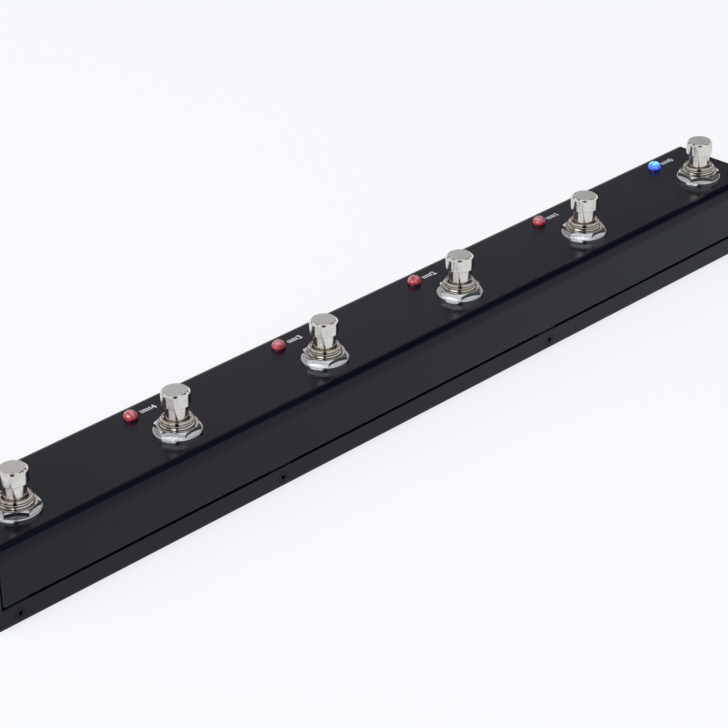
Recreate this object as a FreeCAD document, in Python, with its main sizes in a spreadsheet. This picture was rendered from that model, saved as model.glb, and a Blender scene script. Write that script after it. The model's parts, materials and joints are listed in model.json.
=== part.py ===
# Loop switcher pedal: a folded steel case with six latching foot switches, six indicator lights,
# twelve 6.35 mm jacks and a power inlet.
# Millimetres. +X runs along the row to the right, +Y to the rear, +Z up.
# The origin is the middle of the case's footprint, on the surface that the rubber feet stand on.

import FreeCAD, Part
import collections
import math
import os

import Sketcher

os.makedirs("parts", exist_ok=True)

V = FreeCAD.Vector
doc = FreeCAD.newDocument("LoopSwitcher")
sheet = doc.addObject("Spreadsheet::Sheet", "Sizes")

# Driving dimensions: alias, value, what it is
DIMENSIONS = (
    ("case_length", 378.0, "outside length of the base tray"),
    ("case_depth", 42.5, "outside depth, front skirt to rear skirt"),
    ("case_height", 28.6, "underside of the tray to the top of the cover"),
    ("foot_height", 2.0, "rubber feet under the tray"),
    ("foot_radius", 5.0, "rubber feet"),
    ("foot_inset", 10.0, "middle of a foot from the tray's edges"),
    ("sheet_steel", 1.5, "thickness of cover and tray"),
    ("front_bend", 4.2, "outside radius, top front edge of the cover and end walls"),
    ("rear_bend", 2.75, "outside radius, top rear edge of the cover and end walls"),
    ("tray_bend", 1.3, "outside radius of the tray's bends"),
    ("lip_height", 7.6, "tray lips, from the underside"),
    ("lip_gap", 1.2, "shadow gap between skirt and lip"),
    ("end_gap", 0.7, "gap between the cover's end and the end wall"),
    ("switch_pitch", 67.5, "spacing of the foot switches"),
    ("switch_count", 6, "foot switches"),
    ("loop_count", 5, "effects loops, one fewer than switches"),
    ("first_switch", -166.5, "X of the leftmost switch"),
    ("switch_row", -4.75, "Y of the switch row"),
    ("light_shift", -5.2, "X of a light from its switch"),
    ("light_row", 13.2, "Y of the lights"),
    ("cap_radius", 5.0, "plunger cap"),
    ("cap_height", 5.0, "plunger cap"),
    ("cap_chamfer", 0.75, "bevelled top edge of the cap"),
    ("cap_top", 15.6, "cap's top above the cover"),
    ("stem_radius", 3.95, "plunger stem"),
    ("bush_bore", 4.0, "switch bushing's bore radius"),
    ("bush_radius", 6.0, "switch bushing's thread, outside radius"),
    ("bush_top", 5.6, "switch bushing's rim above the cover"),
    ("mouth_radius", 4.7, "countersunk mouth of the bushing"),
    ("rim_radius", 5.25, "bushing's rim, outside radius"),
    ("rim_taper", 0.9, "bushing's taper, from the rim down to the full thread"),
    ("thread_pitch", 1.0, "switch bushing's thread"),
    ("thread_depth", 0.4, "switch bushing's thread"),
    ("thread_rings", 3, "rings that show the thread above the nut"),
    ("rim_land", 1.1, "bushing above its first thread ring"),
    ("washer_radius", 8.35, "flat washer on the cover"),
    ("washer_thick", 1.0, "flat washer on the cover"),
    ("washer_hole", 6.2, "flat washer's hole radius"),
    ("nut_flats", 14.0, "switch nuts, across flats"),
    ("nut_thick", 2.0, "switch nuts"),
    ("nut_land", 0.1, "nuts' chamfered face, beyond their flats"),
    ("lock_thick", 0.6, "toothed lock washer"),
    ("lock_radius", 8.0, "toothed lock washer"),
    ("notch_radius", 0.7, "notches between the lock washer's teeth"),
    ("notch_count", 12, "notches between the lock washer's teeth"),
    ("housing_x", 17.4, "switch housing"),
    ("housing_y", 17.8, "switch housing"),
    ("housing_height", 14.0, "switch housing without its steel plate"),
    ("plate_thick", 1.0, "steel plate on top of the housing"),
    ("strap_thick", 0.5, "straps of the steel plate, down the housing's sides"),
    ("strap_wide", 9.8, "straps of the steel plate"),
    ("strap_long", 9.8, "straps of the steel plate"),
    ("plate_drop", 6.3, "cover's top down to the steel plate's top"),
    ("cavity_radius", 5.3, "well for spring and collar"),
    ("cavity_depth", 10.8, "well, from the housing's top"),
    ("channel_depth", 2.2, "slider channel below the well"),
    ("channel_long", 12.0, "slider channel, along the row"),
    ("channel_wide", 5.0, "slider channel, across the row"),
    ("slider_long", 8.0, "contact slider, along the row"),
    ("slider_wide", 4.6, "contact slider, across the row"),
    ("slider_high", 1.9, "contact slider"),
    ("collar_radius", 4.9, "collar that keeps the plunger in"),
    ("collar_thick", 1.4, "collar"),
    ("tip_radius", 1.8, "plunger tip inside the spring"),
    ("tip_length", 5.7, "plunger tip"),
    ("spring_radius", 3.9, "return spring, centre of the wire"),
    ("spring_wire", 0.35, "return spring, wire radius"),
    ("spring_turns", 6, "return spring"),
    ("spring_play", 0.01, "return spring, gap at each end"),
    ("lug_length", 4.5, "switch lugs"),
    ("lug_width", 2.4, "switch lugs"),
    ("lug_thick", 0.8, "switch lugs"),
    ("lug_pitch_x", 5.3, "switch lugs, along the row"),
    ("lug_pitch_y", 4.9, "switch lugs, across the row"),
    ("lens_radius", 2.5, "indicator lens"),
    ("lens_height", 8.6, "indicator lens, flange to dome"),
    ("lens_proud", 2.9, "dome's top above the cover"),
    ("flange_radius", 2.9, "lens flange"),
    ("flange_thick", 1.0, "lens flange"),
    ("lead_thick", 0.5, "light leads"),
    ("lead_pitch", 2.54, "light leads"),
    ("lead_drop", 2.5, "light leads below the flange"),
    ("frame_rise", 3.9, "light leads above the flange's underside"),
    ("anvil_long", 1.6, "lead frame's cup for the chip"),
    ("anvil_thick", 0.8, "lead frame's cup for the chip"),
    ("anvil_high", 1.7, "lead frame's cup for the chip"),
    ("post_long", 0.6, "lead frame's second post"),
    ("post_thick", 0.6, "lead frame's second post"),
    ("post_high", 1.5, "lead frame's second post"),
    ("jack_shift", 14.0, "send and return either side of the bay's middle"),
    ("jack_height", 19.3, "Z of the rear jacks' axis"),
    ("end_jack_row", 11.0, "Y of the end jacks' axis"),
    ("end_jack_height", 13.5, "Z of the end jacks' axis"),
    ("plug_radius", 3.2, "jack bore, for a 6.35 mm plug"),
    ("sleeve_radius", 4.75, "jack sleeve's thread"),
    ("sleeve_proud", 3.4, "jack sleeve beyond the panel"),
    ("sleeve_seat", 4.6, "jack sleeve inside the housing"),
    ("jack_wide", 14.5, "jack housing"),
    ("jack_high", 12.5, "jack housing"),
    ("jack_long", 26.5, "jack housing"),
    ("jack_wall", 0.6, "jack housing, closed end"),
    ("plug_room", 0.6, "jack housing's bore, round the plug"),
    ("terminal_side", 5.5, "jack terminals, from the axis to the contact side"),
    ("terminal_half", 3.0, "jack terminals, half their spacing"),
    ("terminal_long", 2.5, "jack terminals, beyond the housing"),
    ("strip_thick", 0.4, "jack contact strips"),
    ("strip_wide", 1.0, "jack contact strips"),
    ("jack_nut_flats", 12.7, "jack nuts, across flats"),
    ("jack_nut_thick", 2.0, "jack nuts"),
    ("jack_washer_radius", 7.0, "jack washers"),
    ("jack_washer_thick", 0.8, "jack washers"),
    ("inlet_radius", 4.0, "power inlet's barrel"),
    ("inlet_bore", 2.8, "power inlet, for a 5.5 mm plug"),
    ("inlet_pin", 1.0, "power inlet's centre pin, radius"),
    ("inlet_depth", 9.5, "power inlet's bore"),
    ("inlet_long", 13.0, "power inlet's barrel behind the panel"),
    ("inlet_flange", 5.0, "power inlet's flange, radius"),
    ("inlet_flange_thick", 1.6, "power inlet's flange"),
    ("inlet_nut_flats", 10.0, "power inlet's nut, across flats"),
    ("screw_radius", 1.2, "case screws, shank"),
    ("screw_head", 2.3, "case screws, head radius"),
    ("screw_socket", 1.5, "case screws, hexagon socket across flats"),
    ("socket_depth", 1.2, "case screws, hexagon socket"),
    ("screw_length", 3.5, "case screws"),
    ("tab_width", 9.0, "fixing tabs"),
    ("tab_height", 9.0, "fixing tabs"),
    ("tab_gap", 1.0, "fixing tabs, above the tray's floor"),
    ("clearance", 0.1, "holes round what passes through them"),
    ("overcut", 0.5, "how far a cutting outline reaches past a surface"),
    ("resistor_radius", 1.1, "lights' resistors"),
    ("resistor_long", 5.0, "lights' resistors without leads"),
    ("resistor_span", 7.0, "lights' resistors with leads"),
    ("wire_radius", 0.6, "hook-up wire"),
    ("wire_bend", 1.5, "hook-up wire, bend radius of its middle line"),
    ("wire_drop", 2.0, "hook-up wire, below the switch housings"),
    ("signal_run", 4.0, "signal wire, from its terminal to its first bend's corner"),
    ("end_run", 4.8, "end jack's wire, from its terminal to its first bend's corner"),
    ("light_run", 3.0, "light's wire, from its lug to its last bend's corner"),
    ("side_gap", 2.2, "light's wire, from the switch housing's side to its middle line"),
)

# X of the case screws in the front and in the rear lip
FRONT_SCREWS = (-180.5, -68.0, 66.0, 180.5)
REAR_SCREWS = (-180.5, -65.25, 69.75, 180.5)

# How far each switch nut was turned when it was tightened, and each jack nut from the one
# before it, in degrees
NUT_TURNS = (23.0, 7.0, 56.0, 47.0, 2.0, 19.0)
JACK_NUT_STEP = 19.0

# The switch, counted from 0 at the left, that the power inlet's wire goes to
SUPPLIED_SWITCH = 3

TINY = 1e-6

for row, (alias, value, note) in enumerate(DIMENSIONS, start=1):
    sheet.set(f"A{row}", note)
    sheet.set(f"B{row}", str(value))
    sheet.setAlias(f"B{row}", alias)

# Heights and lengths that follow from the driving dimensions
DERIVED = (
    ("top", "foot_height + case_height"),
    ("ceiling", "top - sheet_steel"),
    ("floor_top", "foot_height + sheet_steel"),
    ("lip_top", "foot_height + lip_height"),
    ("skirt_bottom", "lip_top + lip_gap"),
    ("half_length", "case_length / 2"),
    ("half_depth", "case_depth / 2"),
    ("cover_half", "half_length - sheet_steel - end_gap"),
    ("plate_top", "top - plate_drop"),
    ("housing_top", "plate_top - plate_thick"),
    ("housing_bottom", "housing_top - housing_height"),
    ("cavity_floor", "housing_top - cavity_depth"),
    ("collar_bottom", "housing_top - clearance - collar_thick"),
    ("lens_bottom", "top + lens_proud - lens_height"),
    ("first_light", "first_switch + light_shift"),
    ("first_bay", "first_switch + switch_pitch / 2"),
    ("screw_z", "foot_height + lip_height / 2"),
    ("tab_bottom", "floor_top + tab_gap"),
    ("jack_depth", "sheet_steel + jack_long"),
    ("wire_level", "housing_bottom - wire_drop"),
    ("resistor_level", "lens_bottom - lead_drop + lead_thick"),
    ("sleeve_long", "sleeve_proud + sheet_steel + sleeve_seat"),
)
for row, (alias, formula) in enumerate(DERIVED, start=len(DIMENSIONS) + 1):
    sheet.set(f"A{row}", "follows: " + formula)
    sheet.set(f"B{row}", "=" + formula)
    sheet.setAlias(f"B{row}", alias)
doc.recompute()

PARTS = []


def size(alias):
    """The value of one cell of the sheet."""
    return float(sheet.get(alias))


def bound(formula):
    """A formula over the sheet's aliases, written out for setExpression."""
    words = []
    word = ""
    for letter in formula + " ":
        if letter.isalnum() or letter in "_.":
            word += letter
            continue
        known = word in ALIASES
        words.append("Sizes." + word if known else word)
        words.append(letter)
        word = ""
    return "".join(words).strip()


ALIASES = {row[0] for row in DIMENSIONS} | {row[0] for row in DERIVED}


def number(formula):
    """The value of a formula over the sheet's aliases, for shapes that Part's functions make."""
    probe = doc.getObject("Probe") or doc.addObject("Part::Box", "Probe")
    return float(probe.evalExpression(bound(formula)))


def keep(obj, label):
    """Names a finished sub-part, so that it is checked and written."""
    obj.Label = label
    PARTS.append(obj)
    return obj


def place(obj, x="0", y="0", z="0"):
    """Binds an object's place to formulas."""
    for axis, formula in zip("xyz", (x, y, z)):
        obj.setExpression(f".Placement.Base.{axis}", bound(formula))
    return obj


TURNS = {
    "z": FreeCAD.Rotation(),
    "y": FreeCAD.Rotation(V(1, 0, 0), -90),
    "-y": FreeCAD.Rotation(V(1, 0, 0), 90),
    "x": FreeCAD.Rotation(V(0, 1, 0), 90),
    "-x": FreeCAD.Rotation(V(0, 1, 0), -90),
}


def cylinder(name, radius, height, x="0", y="0", z="0", axis="z"):
    """A cylinder from its first end's centre along an axis."""
    obj = doc.addObject("Part::Cylinder", name)
    obj.setExpression("Radius", bound(radius))
    obj.setExpression("Height", bound(height))
    obj.Placement = FreeCAD.Placement(V(), TURNS[axis])
    return place(obj, x, y, z)


def cone(name, radius_1, radius_2, height, x="0", y="0", z="0", axis="z"):
    """A cone from its first end's centre along an axis."""
    obj = doc.addObject("Part::Cone", name)
    obj.setExpression("Radius1", bound(radius_1))
    obj.setExpression("Radius2", bound(radius_2))
    obj.setExpression("Height", bound(height))
    obj.Placement = FreeCAD.Placement(V(), TURNS[axis])
    return place(obj, x, y, z)


def block(name, length, width, height, x="0", y="0", z="0"):
    """A box centred on x and y, standing on z."""
    obj = doc.addObject("Part::Box", name)
    obj.setExpression("Length", bound(length))
    obj.setExpression("Width", bound(width))
    obj.setExpression("Height", bound(height))
    return place(obj, f"{x} - ({length}) / 2", f"{y} - ({width}) / 2", z)


def prism(name, flats, height, x="0", y="0", z="0", axis="z", turn=0.0):
    """A hexagonal prism by its width across flats, turned about its own axis."""
    obj = doc.addObject("Part::Prism", name)
    obj.Polygon = 6
    obj.setExpression("Circumradius", bound(f"({flats}) / 2 / cos(30)"))
    obj.setExpression("Height", bound(height))
    spin = FreeCAD.Rotation(V(0, 0, 1), turn)
    obj.Placement = FreeCAD.Placement(V(), TURNS[axis] * spin)
    return place(obj, x, y, z)


def cut(name, base, tool):
    obj = doc.addObject("Part::Cut", name)
    obj.Base = base
    obj.Tool = tool
    return obj


def common(name, base, tool):
    obj = doc.addObject("Part::Common", name)
    obj.Base = base
    obj.Tool = tool
    return obj


def fuse(name, shapes):
    obj = doc.addObject("Part::MultiFuse", name)
    obj.Shapes = shapes
    return obj


def group(name, links):
    """Separate solids in one node."""
    obj = doc.addObject("Part::Compound", name)
    obj.Links = links
    return obj


def new_body(label):
    """A PartDesign body, kept as a sub-part."""
    return keep(doc.addObject("PartDesign::Body", "Body_" + label), label)


def origin_feature(body, role):
    for feature in body.Origin.OriginFeatures:
        if feature.Role == role:
            return feature
    raise ValueError(role)


def new_sketch(body, name, plane="XY_Plane", offset="0"):
    """A sketch on an origin plane of its body, moved along the plane's normal."""
    sketch = body.newObject("Sketcher::SketchObject", name)
    sketch.AttachmentSupport = [(origin_feature(body, plane), "")]
    sketch.MapMode = "FlatFace"
    sketch.setExpression(".AttachmentOffset.Base.z", bound(offset))
    return sketch


def fix(sketch, kind, geometry, point, formula):
    """Holds one point of a sketch at a distance from the origin along one axis."""
    value = number(formula)
    if abs(value) < TINY:
        axis = -2 if kind == "DistanceX" else -1
        sketch.addConstraint(Sketcher.Constraint("PointOnObject", geometry, point, axis))
        return
    index = sketch.addConstraint(Sketcher.Constraint(kind, -1, 1, geometry, point, value))
    sketch.setExpression(f"Constraints[{index}]", bound(formula))


def add_outline(sketch, points):
    """A closed outline of straight lines, each corner held by two formulas."""
    corners = [V(number(x), number(y), 0) for x, y in points]
    first = sketch.GeometryCount
    total = len(corners)
    for index, corner in enumerate(corners):
        sketch.addGeometry(Part.LineSegment(corner, corners[(index + 1) % total]))
    for index in range(total):
        following = first + (index + 1) % total
        sketch.addConstraint(Sketcher.Constraint("Coincident", first + index, 2, following, 1))
    for index, (x, y) in enumerate(points):
        fix(sketch, "DistanceX", first + index, 1, x)
        fix(sketch, "DistanceY", first + index, 1, y)


def add_circle(sketch, radius, x="0", y="0"):
    """A circle held by its centre and radius."""
    centre = V(number(x), number(y), 0)
    index = sketch.addGeometry(Part.Circle(centre, V(0, 0, 1), number(radius)))
    fix(sketch, "DistanceX", index, 3, x)
    fix(sketch, "DistanceY", index, 3, y)
    held = sketch.addConstraint(Sketcher.Constraint("Radius", index, number(radius)))
    sketch.setExpression(f"Constraints[{held}]", bound(radius))


def pad(body, sketch, length, turned=False, both_ways=False):
    feature = body.newObject("PartDesign::Pad", "Pad")
    feature.Profile = sketch
    feature.Midplane = both_ways
    feature.Reversed = turned
    feature.setExpression("Length", bound(length))
    body.Tip = feature
    doc.recompute()
    return feature


def pocket(body, sketch, length, turned=False, both_ways=False):
    """Removes a sketch's depth, and stops the build if that takes nothing away."""
    before = body.Shape.Volume
    feature = body.newObject("PartDesign::Pocket", "Pocket")
    feature.Profile = sketch
    feature.Midplane = both_ways
    feature.Reversed = turned
    feature.setExpression("Length", bound(length))
    body.Tip = feature
    doc.recompute()
    if body.Shape.Volume > before - TINY:
        raise ValueError(f"{body.Label}: {sketch.Label} cuts nothing")
    return feature


def revolve(body, sketch, axis="Z_Axis"):
    feature = body.newObject("PartDesign::Revolution", "Revolution")
    feature.Profile = sketch
    feature.ReferenceAxis = (origin_feature(body, axis), [""])
    feature.Angle = 360
    body.Tip = feature
    doc.recompute()
    return feature


def groove(body, sketch, axis="Z_Axis"):
    before = body.Shape.Volume
    feature = body.newObject("PartDesign::Groove", "Groove")
    feature.Profile = sketch
    feature.ReferenceAxis = (origin_feature(body, axis), [""])
    feature.Angle = 360
    body.Tip = feature
    doc.recompute()
    if body.Shape.Volume > before - TINY:
        raise ValueError(f"{body.Label}: {sketch.Label} cuts nothing")
    return feature


def repeat(body, features, spacing, count, axis="X_Axis", turned=False):
    """A row of the same features at one spacing."""
    feature = body.newObject("PartDesign::LinearPattern", "Row")
    feature.Originals = features
    feature.Direction = (origin_feature(body, axis), [""])
    feature.Mode = "Spacing"
    feature.Reversed = turned
    feature.setExpression("Offset", bound(spacing))
    feature.setExpression("Occurrences", bound(count))
    body.Tip = feature
    doc.recompute()
    return feature


def round_edges(body, radius, chosen):
    """Rounds the edges of the body's tip whose middle passes a test."""
    base = body.Tip
    names = []
    for index, edge in enumerate(base.Shape.Edges, start=1):
        middle = edge.valueAt((edge.FirstParameter + edge.LastParameter) / 2)
        if chosen(edge, middle):
            names.append(f"Edge{index}")
    if not names:
        raise ValueError(f"{body.Label}: no edge to round")
    feature = body.newObject("PartDesign::Fillet", "Fillet")
    feature.Base = (base, names)
    feature.setExpression("Radius", bound(radius))
    body.Tip = feature
    doc.recompute()
    return feature


def runs_along_x(edge):
    start, end = edge.Vertexes[0].Point, edge.Vertexes[-1].Point
    return near(start.y, end.y) and near(start.z, end.z) and not near(start.x, end.x)


def near(value, target):
    return abs(value - target) < 100 * TINY


def switch_x(number_in_row):
    """X of a switch, counted from 0 at the left, as a formula."""
    return f"first_switch + {number_in_row} * switch_pitch"


def round_bends(body, height, inset=""):
    """Rounds the front and rear edges that run along X at a height, less an inset."""
    for side, radius in ((-1, "front_bend"), (1, "rear_bend")):
        round_edges(body, radius + inset, lambda edge, mid: runs_along_x(edge)
                    and near(mid.z, height) and side * mid.y > 0)


def make_cover():
    """Folded top with front and rear skirts, pierced for switches, lights, jacks and inlet."""
    body = new_body("cover")
    section = new_sketch(body, "CoverSection", "YZ_Plane")
    add_outline(section, (("-half_depth", "skirt_bottom"), ("half_depth", "skirt_bottom"),
                          ("half_depth", "top"), ("-half_depth", "top")))
    pad(body, section, "2 * cover_half", both_ways=True)
    round_bends(body, size("top"))

    hollow = new_sketch(body, "CoverHollow", "YZ_Plane")
    inner = "half_depth - sheet_steel"
    add_outline(hollow, ((f"-({inner})", "skirt_bottom"), (inner, "skirt_bottom"),
                         (inner, "ceiling"), (f"-({inner})", "ceiling")))
    pocket(body, hollow, "2 * cover_half", both_ways=True)
    round_bends(body, size("ceiling"), " - sheet_steel")

    switch_hole = new_sketch(body, "SwitchHole", "XY_Plane", "top")
    add_circle(switch_hole, "bush_radius + clearance", "first_switch", "switch_row")
    cut_1 = pocket(body, switch_hole, "2 * sheet_steel")
    repeat(body, [cut_1], "switch_pitch", "switch_count")

    light_hole = new_sketch(body, "LightHole", "XY_Plane", "top")
    add_circle(light_hole, "lens_radius + clearance / 2", "first_light", "light_row")
    cut_2 = pocket(body, light_hole, "2 * sheet_steel")
    repeat(body, [cut_2], "switch_pitch", "switch_count")

    jack_holes = new_sketch(body, "JackHoles", "XZ_Plane", "-half_depth")
    for side in ("-", "+"):
        add_circle(jack_holes, "sleeve_radius + clearance", f"first_bay {side} jack_shift",
                   "jack_height")
    cut_3 = pocket(body, jack_holes, "2 * sheet_steel", turned=True)
    repeat(body, [cut_3], "switch_pitch", "loop_count")

    inlet_hole = new_sketch(body, "InletHole", "XZ_Plane", "-half_depth")
    add_circle(inlet_hole, "inlet_radius + clearance", "first_bay + 2 * switch_pitch",
               "jack_height")
    pocket(body, inlet_hole, "2 * sheet_steel", turned=True)


def make_base_tray():
    """Bottom, end walls and low lips, countersunk for the case screws."""
    body = doc.addObject("PartDesign::Body", "TrayBody")
    section = new_sketch(body, "TraySection", "XZ_Plane")
    inner = "half_length - sheet_steel"
    add_outline(section, (("-half_length", "foot_height"), ("half_length", "foot_height"),
                          ("half_length", "top"), (inner, "top"), (inner, "floor_top"),
                          (f"-({inner})", "floor_top"), (f"-({inner})", "top"),
                          ("-half_length", "top")))
    pad(body, section, "case_depth", both_ways=True)

    lips = new_sketch(body, "Lips", "XY_Plane", "floor_top")
    face = "half_depth - sheet_steel"
    for low, high in (("-half_depth", f"-({face})"), (face, "half_depth")):
        add_outline(lips, ((f"-({inner})", low), (inner, low), (inner, high),
                           (f"-({inner})", high)))
    pad(body, lips, "lip_top - floor_top")

    under, half = size("foot_height"), size("half_depth")
    ends = size("half_length")
    round_edges(body, "tray_bend", lambda edge, mid: near(mid.z, under) and (
        near(abs(mid.y), half) or near(abs(mid.x), ends)))
    round_bends(body, size("top"))

    tools = []
    for side, places in (("-", FRONT_SCREWS), ("+", REAR_SCREWS)):
        inward = "y" if side == "-" else "-y"
        for x in places:
            tools.append(cylinder("ScrewHole", "screw_radius + clearance", "3 * sheet_steel",
                                  str(x), f"{side}half_depth", "screw_z", inward))
            tools.append(cone("Countersink", "screw_head", "screw_radius",
                              "screw_head - screw_radius", str(x), f"{side}half_depth",
                              "screw_z", inward))
    for side, inward in (("-", "x"), ("+", "-x")):
        tools.append(cylinder("EndJackHole", "sleeve_radius + clearance", "2 * sheet_steel",
                              f"{side}half_length", "end_jack_row", "end_jack_height", inward))
    keep(cut("BaseTray", body, group("TrayTools", tools)), "base_tray")


def make_fixing_tabs():
    """Tapped steel tabs, spot-welded inside the skirts and reaching down behind the lips."""
    tabs = []
    for side, places in (("-", FRONT_SCREWS), ("+", REAR_SCREWS)):
        inward = "y" if side == "-" else "-y"
        back = "+" if side == "-" else "-"
        middle = f"{side}half_depth {back} 1.5 * sheet_steel"
        for x in places:
            plate = block("TabPlate", "tab_width", "sheet_steel", "tab_height", str(x), middle,
                          "tab_bottom")
            hole = cylinder("TabHole", "screw_radius", "3 * sheet_steel", str(x),
                            f"{side}half_depth", "screw_z", inward)
            tabs.append(cut("Tab", plate, hole))
    keep(group("Tabs", tabs), "fixing_tabs")


def make_case_screws():
    """Countersunk screws with a hexagon socket, four in each lip."""
    screws = []
    for side, places in (("-", FRONT_SCREWS), ("+", REAR_SCREWS)):
        inward = "y" if side == "-" else "-y"
        for x in places:
            face = f"{side}half_depth"
            head = cone("ScrewHead", "screw_head", "screw_radius", "screw_head - screw_radius",
                        str(x), face, "screw_z", inward)
            shank = cylinder("ScrewShank", "screw_radius", "screw_length", str(x), face,
                             "screw_z", inward)
            socket = prism("ScrewSocket", "screw_socket", "socket_depth", str(x), face,
                           "screw_z", inward)
            screws.append(cut("Screw", fuse("ScrewSolid", [head, shank]), socket))
    keep(group("Screws", screws), "case_screws")


def make_rubber_feet():
    """Four self-adhesive feet under the tray's corners."""
    body = new_body("rubber_feet")
    feet = new_sketch(body, "Feet")
    for side in ("-", ""):
        add_circle(feet, "foot_radius", "-(half_length - foot_inset)",
                   f"{side}(half_depth - foot_inset)")
    left_pair = pad(body, feet, "foot_height")
    repeat(body, [left_pair], "2 * (half_length - foot_inset)", "2")


def make_plunger(index):
    """Cap, stem, retaining collar and tip: turned from one piece."""
    body = new_body(f"plunger_{index + 1}")
    profile = new_sketch(body, "PlungerProfile", "XZ_Plane")
    cap_bottom = "top + cap_top - cap_height"
    add_outline(profile, (("0", "collar_bottom - tip_length"),
                          ("tip_radius", "collar_bottom - tip_length"),
                          ("tip_radius", "collar_bottom"), ("collar_radius", "collar_bottom"),
                          ("collar_radius", "collar_bottom + collar_thick"),
                          ("stem_radius", "collar_bottom + collar_thick"),
                          ("stem_radius", cap_bottom), ("cap_radius", cap_bottom),
                          ("cap_radius", "top + cap_top - cap_chamfer"),
                          ("cap_radius - cap_chamfer", "top + cap_top"),
                          ("0", "top + cap_top")))
    revolve(body, profile)
    place(body, switch_x(index), "switch_row")


def make_switch_bushing(index):
    """Threaded bushing cast in one with the steel plate and straps that close the housing."""
    body = new_body(f"switch_bushing_{index + 1}")
    plate = new_sketch(body, "Plate", "XY_Plane", "housing_top")
    wide, deep = "housing_x / 2", "housing_y / 2"
    add_outline(plate, ((f"-{wide}", f"-{deep}"), (wide, f"-{deep}"), (wide, deep),
                        (f"-{wide}", deep)))
    add_circle(plate, "bush_bore")
    pad(body, plate, "plate_thick")

    straps = new_sketch(body, "Straps", "XY_Plane", "plate_top")
    outer, edge = "housing_x / 2 + strap_thick", "strap_wide / 2"
    for side in ("-", ""):
        inside, outside = f"{side}({wide})", f"{side}({outer})"
        add_outline(straps, ((inside, f"-{edge}"), (outside, f"-{edge}"), (outside, edge),
                             (inside, edge)))
    pad(body, straps, "strap_long", turned=True)

    tube = new_sketch(body, "Tube", "XY_Plane", "plate_top")
    add_circle(tube, "bush_radius")
    add_circle(tube, "bush_bore")
    pad(body, tube, "top + bush_top - plate_top")

    mouth = new_sketch(body, "Mouth", "XZ_Plane")
    rim = "top + bush_top"
    sink = "mouth_radius - bush_bore"
    add_outline(mouth, (("bush_bore - overcut", f"{rim} - ({sink}) - overcut"),
                        ("mouth_radius + overcut", f"{rim} + overcut"),
                        ("bush_bore - overcut", f"{rim} + overcut")))
    groove(body, mouth)

    taper = new_sketch(body, "Taper", "XZ_Plane")
    add_outline(taper, (("rim_radius", f"{rim} + overcut"), ("rim_radius", rim),
                        ("bush_radius", f"{rim} - rim_taper"),
                        ("bush_radius + overcut", f"{rim} - rim_taper"),
                        ("bush_radius + overcut", f"{rim} + overcut")))
    groove(body, taper)

    thread = new_sketch(body, "Thread", "XZ_Plane")
    crest = f"{rim} - rim_land"
    add_outline(thread, (("bush_radius + overcut", crest),
                         ("bush_radius - thread_depth", f"{crest} - thread_pitch / 2"),
                         ("bush_radius + overcut", f"{crest} - thread_pitch")))
    cut_thread = groove(body, thread)
    repeat(body, [cut_thread], "thread_pitch", "thread_rings", "Z_Axis", turned=True)
    place(body, switch_x(index), "switch_row")


def make_switch_housing(index):
    """Moulded housing with a well for spring and collar, and a channel for the contact slider."""
    body = new_body(f"switch_housing_{index + 1}")
    outline = new_sketch(body, "HousingOutline", "XY_Plane", "housing_bottom")
    wide, deep = "housing_x / 2", "housing_y / 2"
    add_outline(outline, ((f"-{wide}", f"-{deep}"), (wide, f"-{deep}"), (wide, deep),
                          (f"-{wide}", deep)))
    pad(body, outline, "housing_height")
    well = new_sketch(body, "Well", "XY_Plane", "housing_top")
    add_circle(well, "cavity_radius")
    pocket(body, well, "cavity_depth")
    channel = new_sketch(body, "Channel", "XY_Plane", "cavity_floor")
    end, side = "channel_long / 2", "channel_wide / 2"
    add_outline(channel, ((f"-{end}", f"-{side}"), (end, f"-{side}"), (end, side),
                          (f"-{end}", side)))
    pocket(body, channel, "channel_depth")
    place(body, switch_x(index), "switch_row")


def helix_tube(radius, wire, height, turns):
    """A coil spring's wire: a helix swept with a round section."""
    path = Part.Wire(Part.makeHelix(height / turns, height, radius).Edges)
    start = path.Edges[0].valueAt(path.Edges[0].FirstParameter)
    heading = path.Edges[0].tangentAt(path.Edges[0].FirstParameter)
    section = Part.Wire([Part.Edge(Part.Circle(start, heading, wire))])
    return path.makePipeShell([section], True, True)


def make_return_spring(index):
    """Sealed coil spring between the well's floor and the plunger's collar."""
    low = number("cavity_floor + spring_wire + spring_play")
    high = number("collar_bottom - spring_wire - spring_play")
    coil = helix_tube(size("spring_radius"), size("spring_wire"), high - low,
                      size("spring_turns"))
    spring = doc.addObject("Part::Feature", f"Spring_{index + 1}")
    spring.Shape = coil
    x = number(switch_x(index))
    spring.Placement = FreeCAD.Placement(V(x, size("switch_row"), low), FreeCAD.Rotation())
    keep(spring, f"return_spring_{index + 1}")


def make_contact_sliders():
    """The small block under each plunger tip that carries the moving contacts."""
    body = new_body("contact_sliders")
    sketch = new_sketch(body, "Slider", "XY_Plane", "cavity_floor - channel_depth")
    left, right = "first_switch - slider_long / 2", "first_switch + slider_long / 2"
    front, rear = "switch_row - slider_wide / 2", "switch_row + slider_wide / 2"
    add_outline(sketch, ((left, front), (right, front), (right, rear), (left, rear)))
    slider = pad(body, sketch, "slider_high")
    repeat(body, [slider], "switch_pitch", "switch_count")


def make_switch_lugs():
    """Nine solder lugs under each switch, in three rows of three."""
    lugs = []
    for switch in range(int(size("switch_count"))):
        for column in (-1, 0, 1):
            for rank in (-1, 0, 1):
                x = f"{switch_x(switch)} + {column} * lug_pitch_x"
                y = f"switch_row + {rank} * lug_pitch_y"
                z = "housing_bottom - lug_length"
                blade = block("LugBlade", "lug_width", "lug_thick", "lug_length", x, y, z)
                eye = cylinder("LugEye", "lug_width / 4", "2 * lug_thick", x,
                               f"{y} - lug_thick", f"{z} + lug_width / 2", "y")
                lugs.append(cut("Lug", blade, eye))
    keep(group("Lugs", lugs), "switch_lugs")


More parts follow.
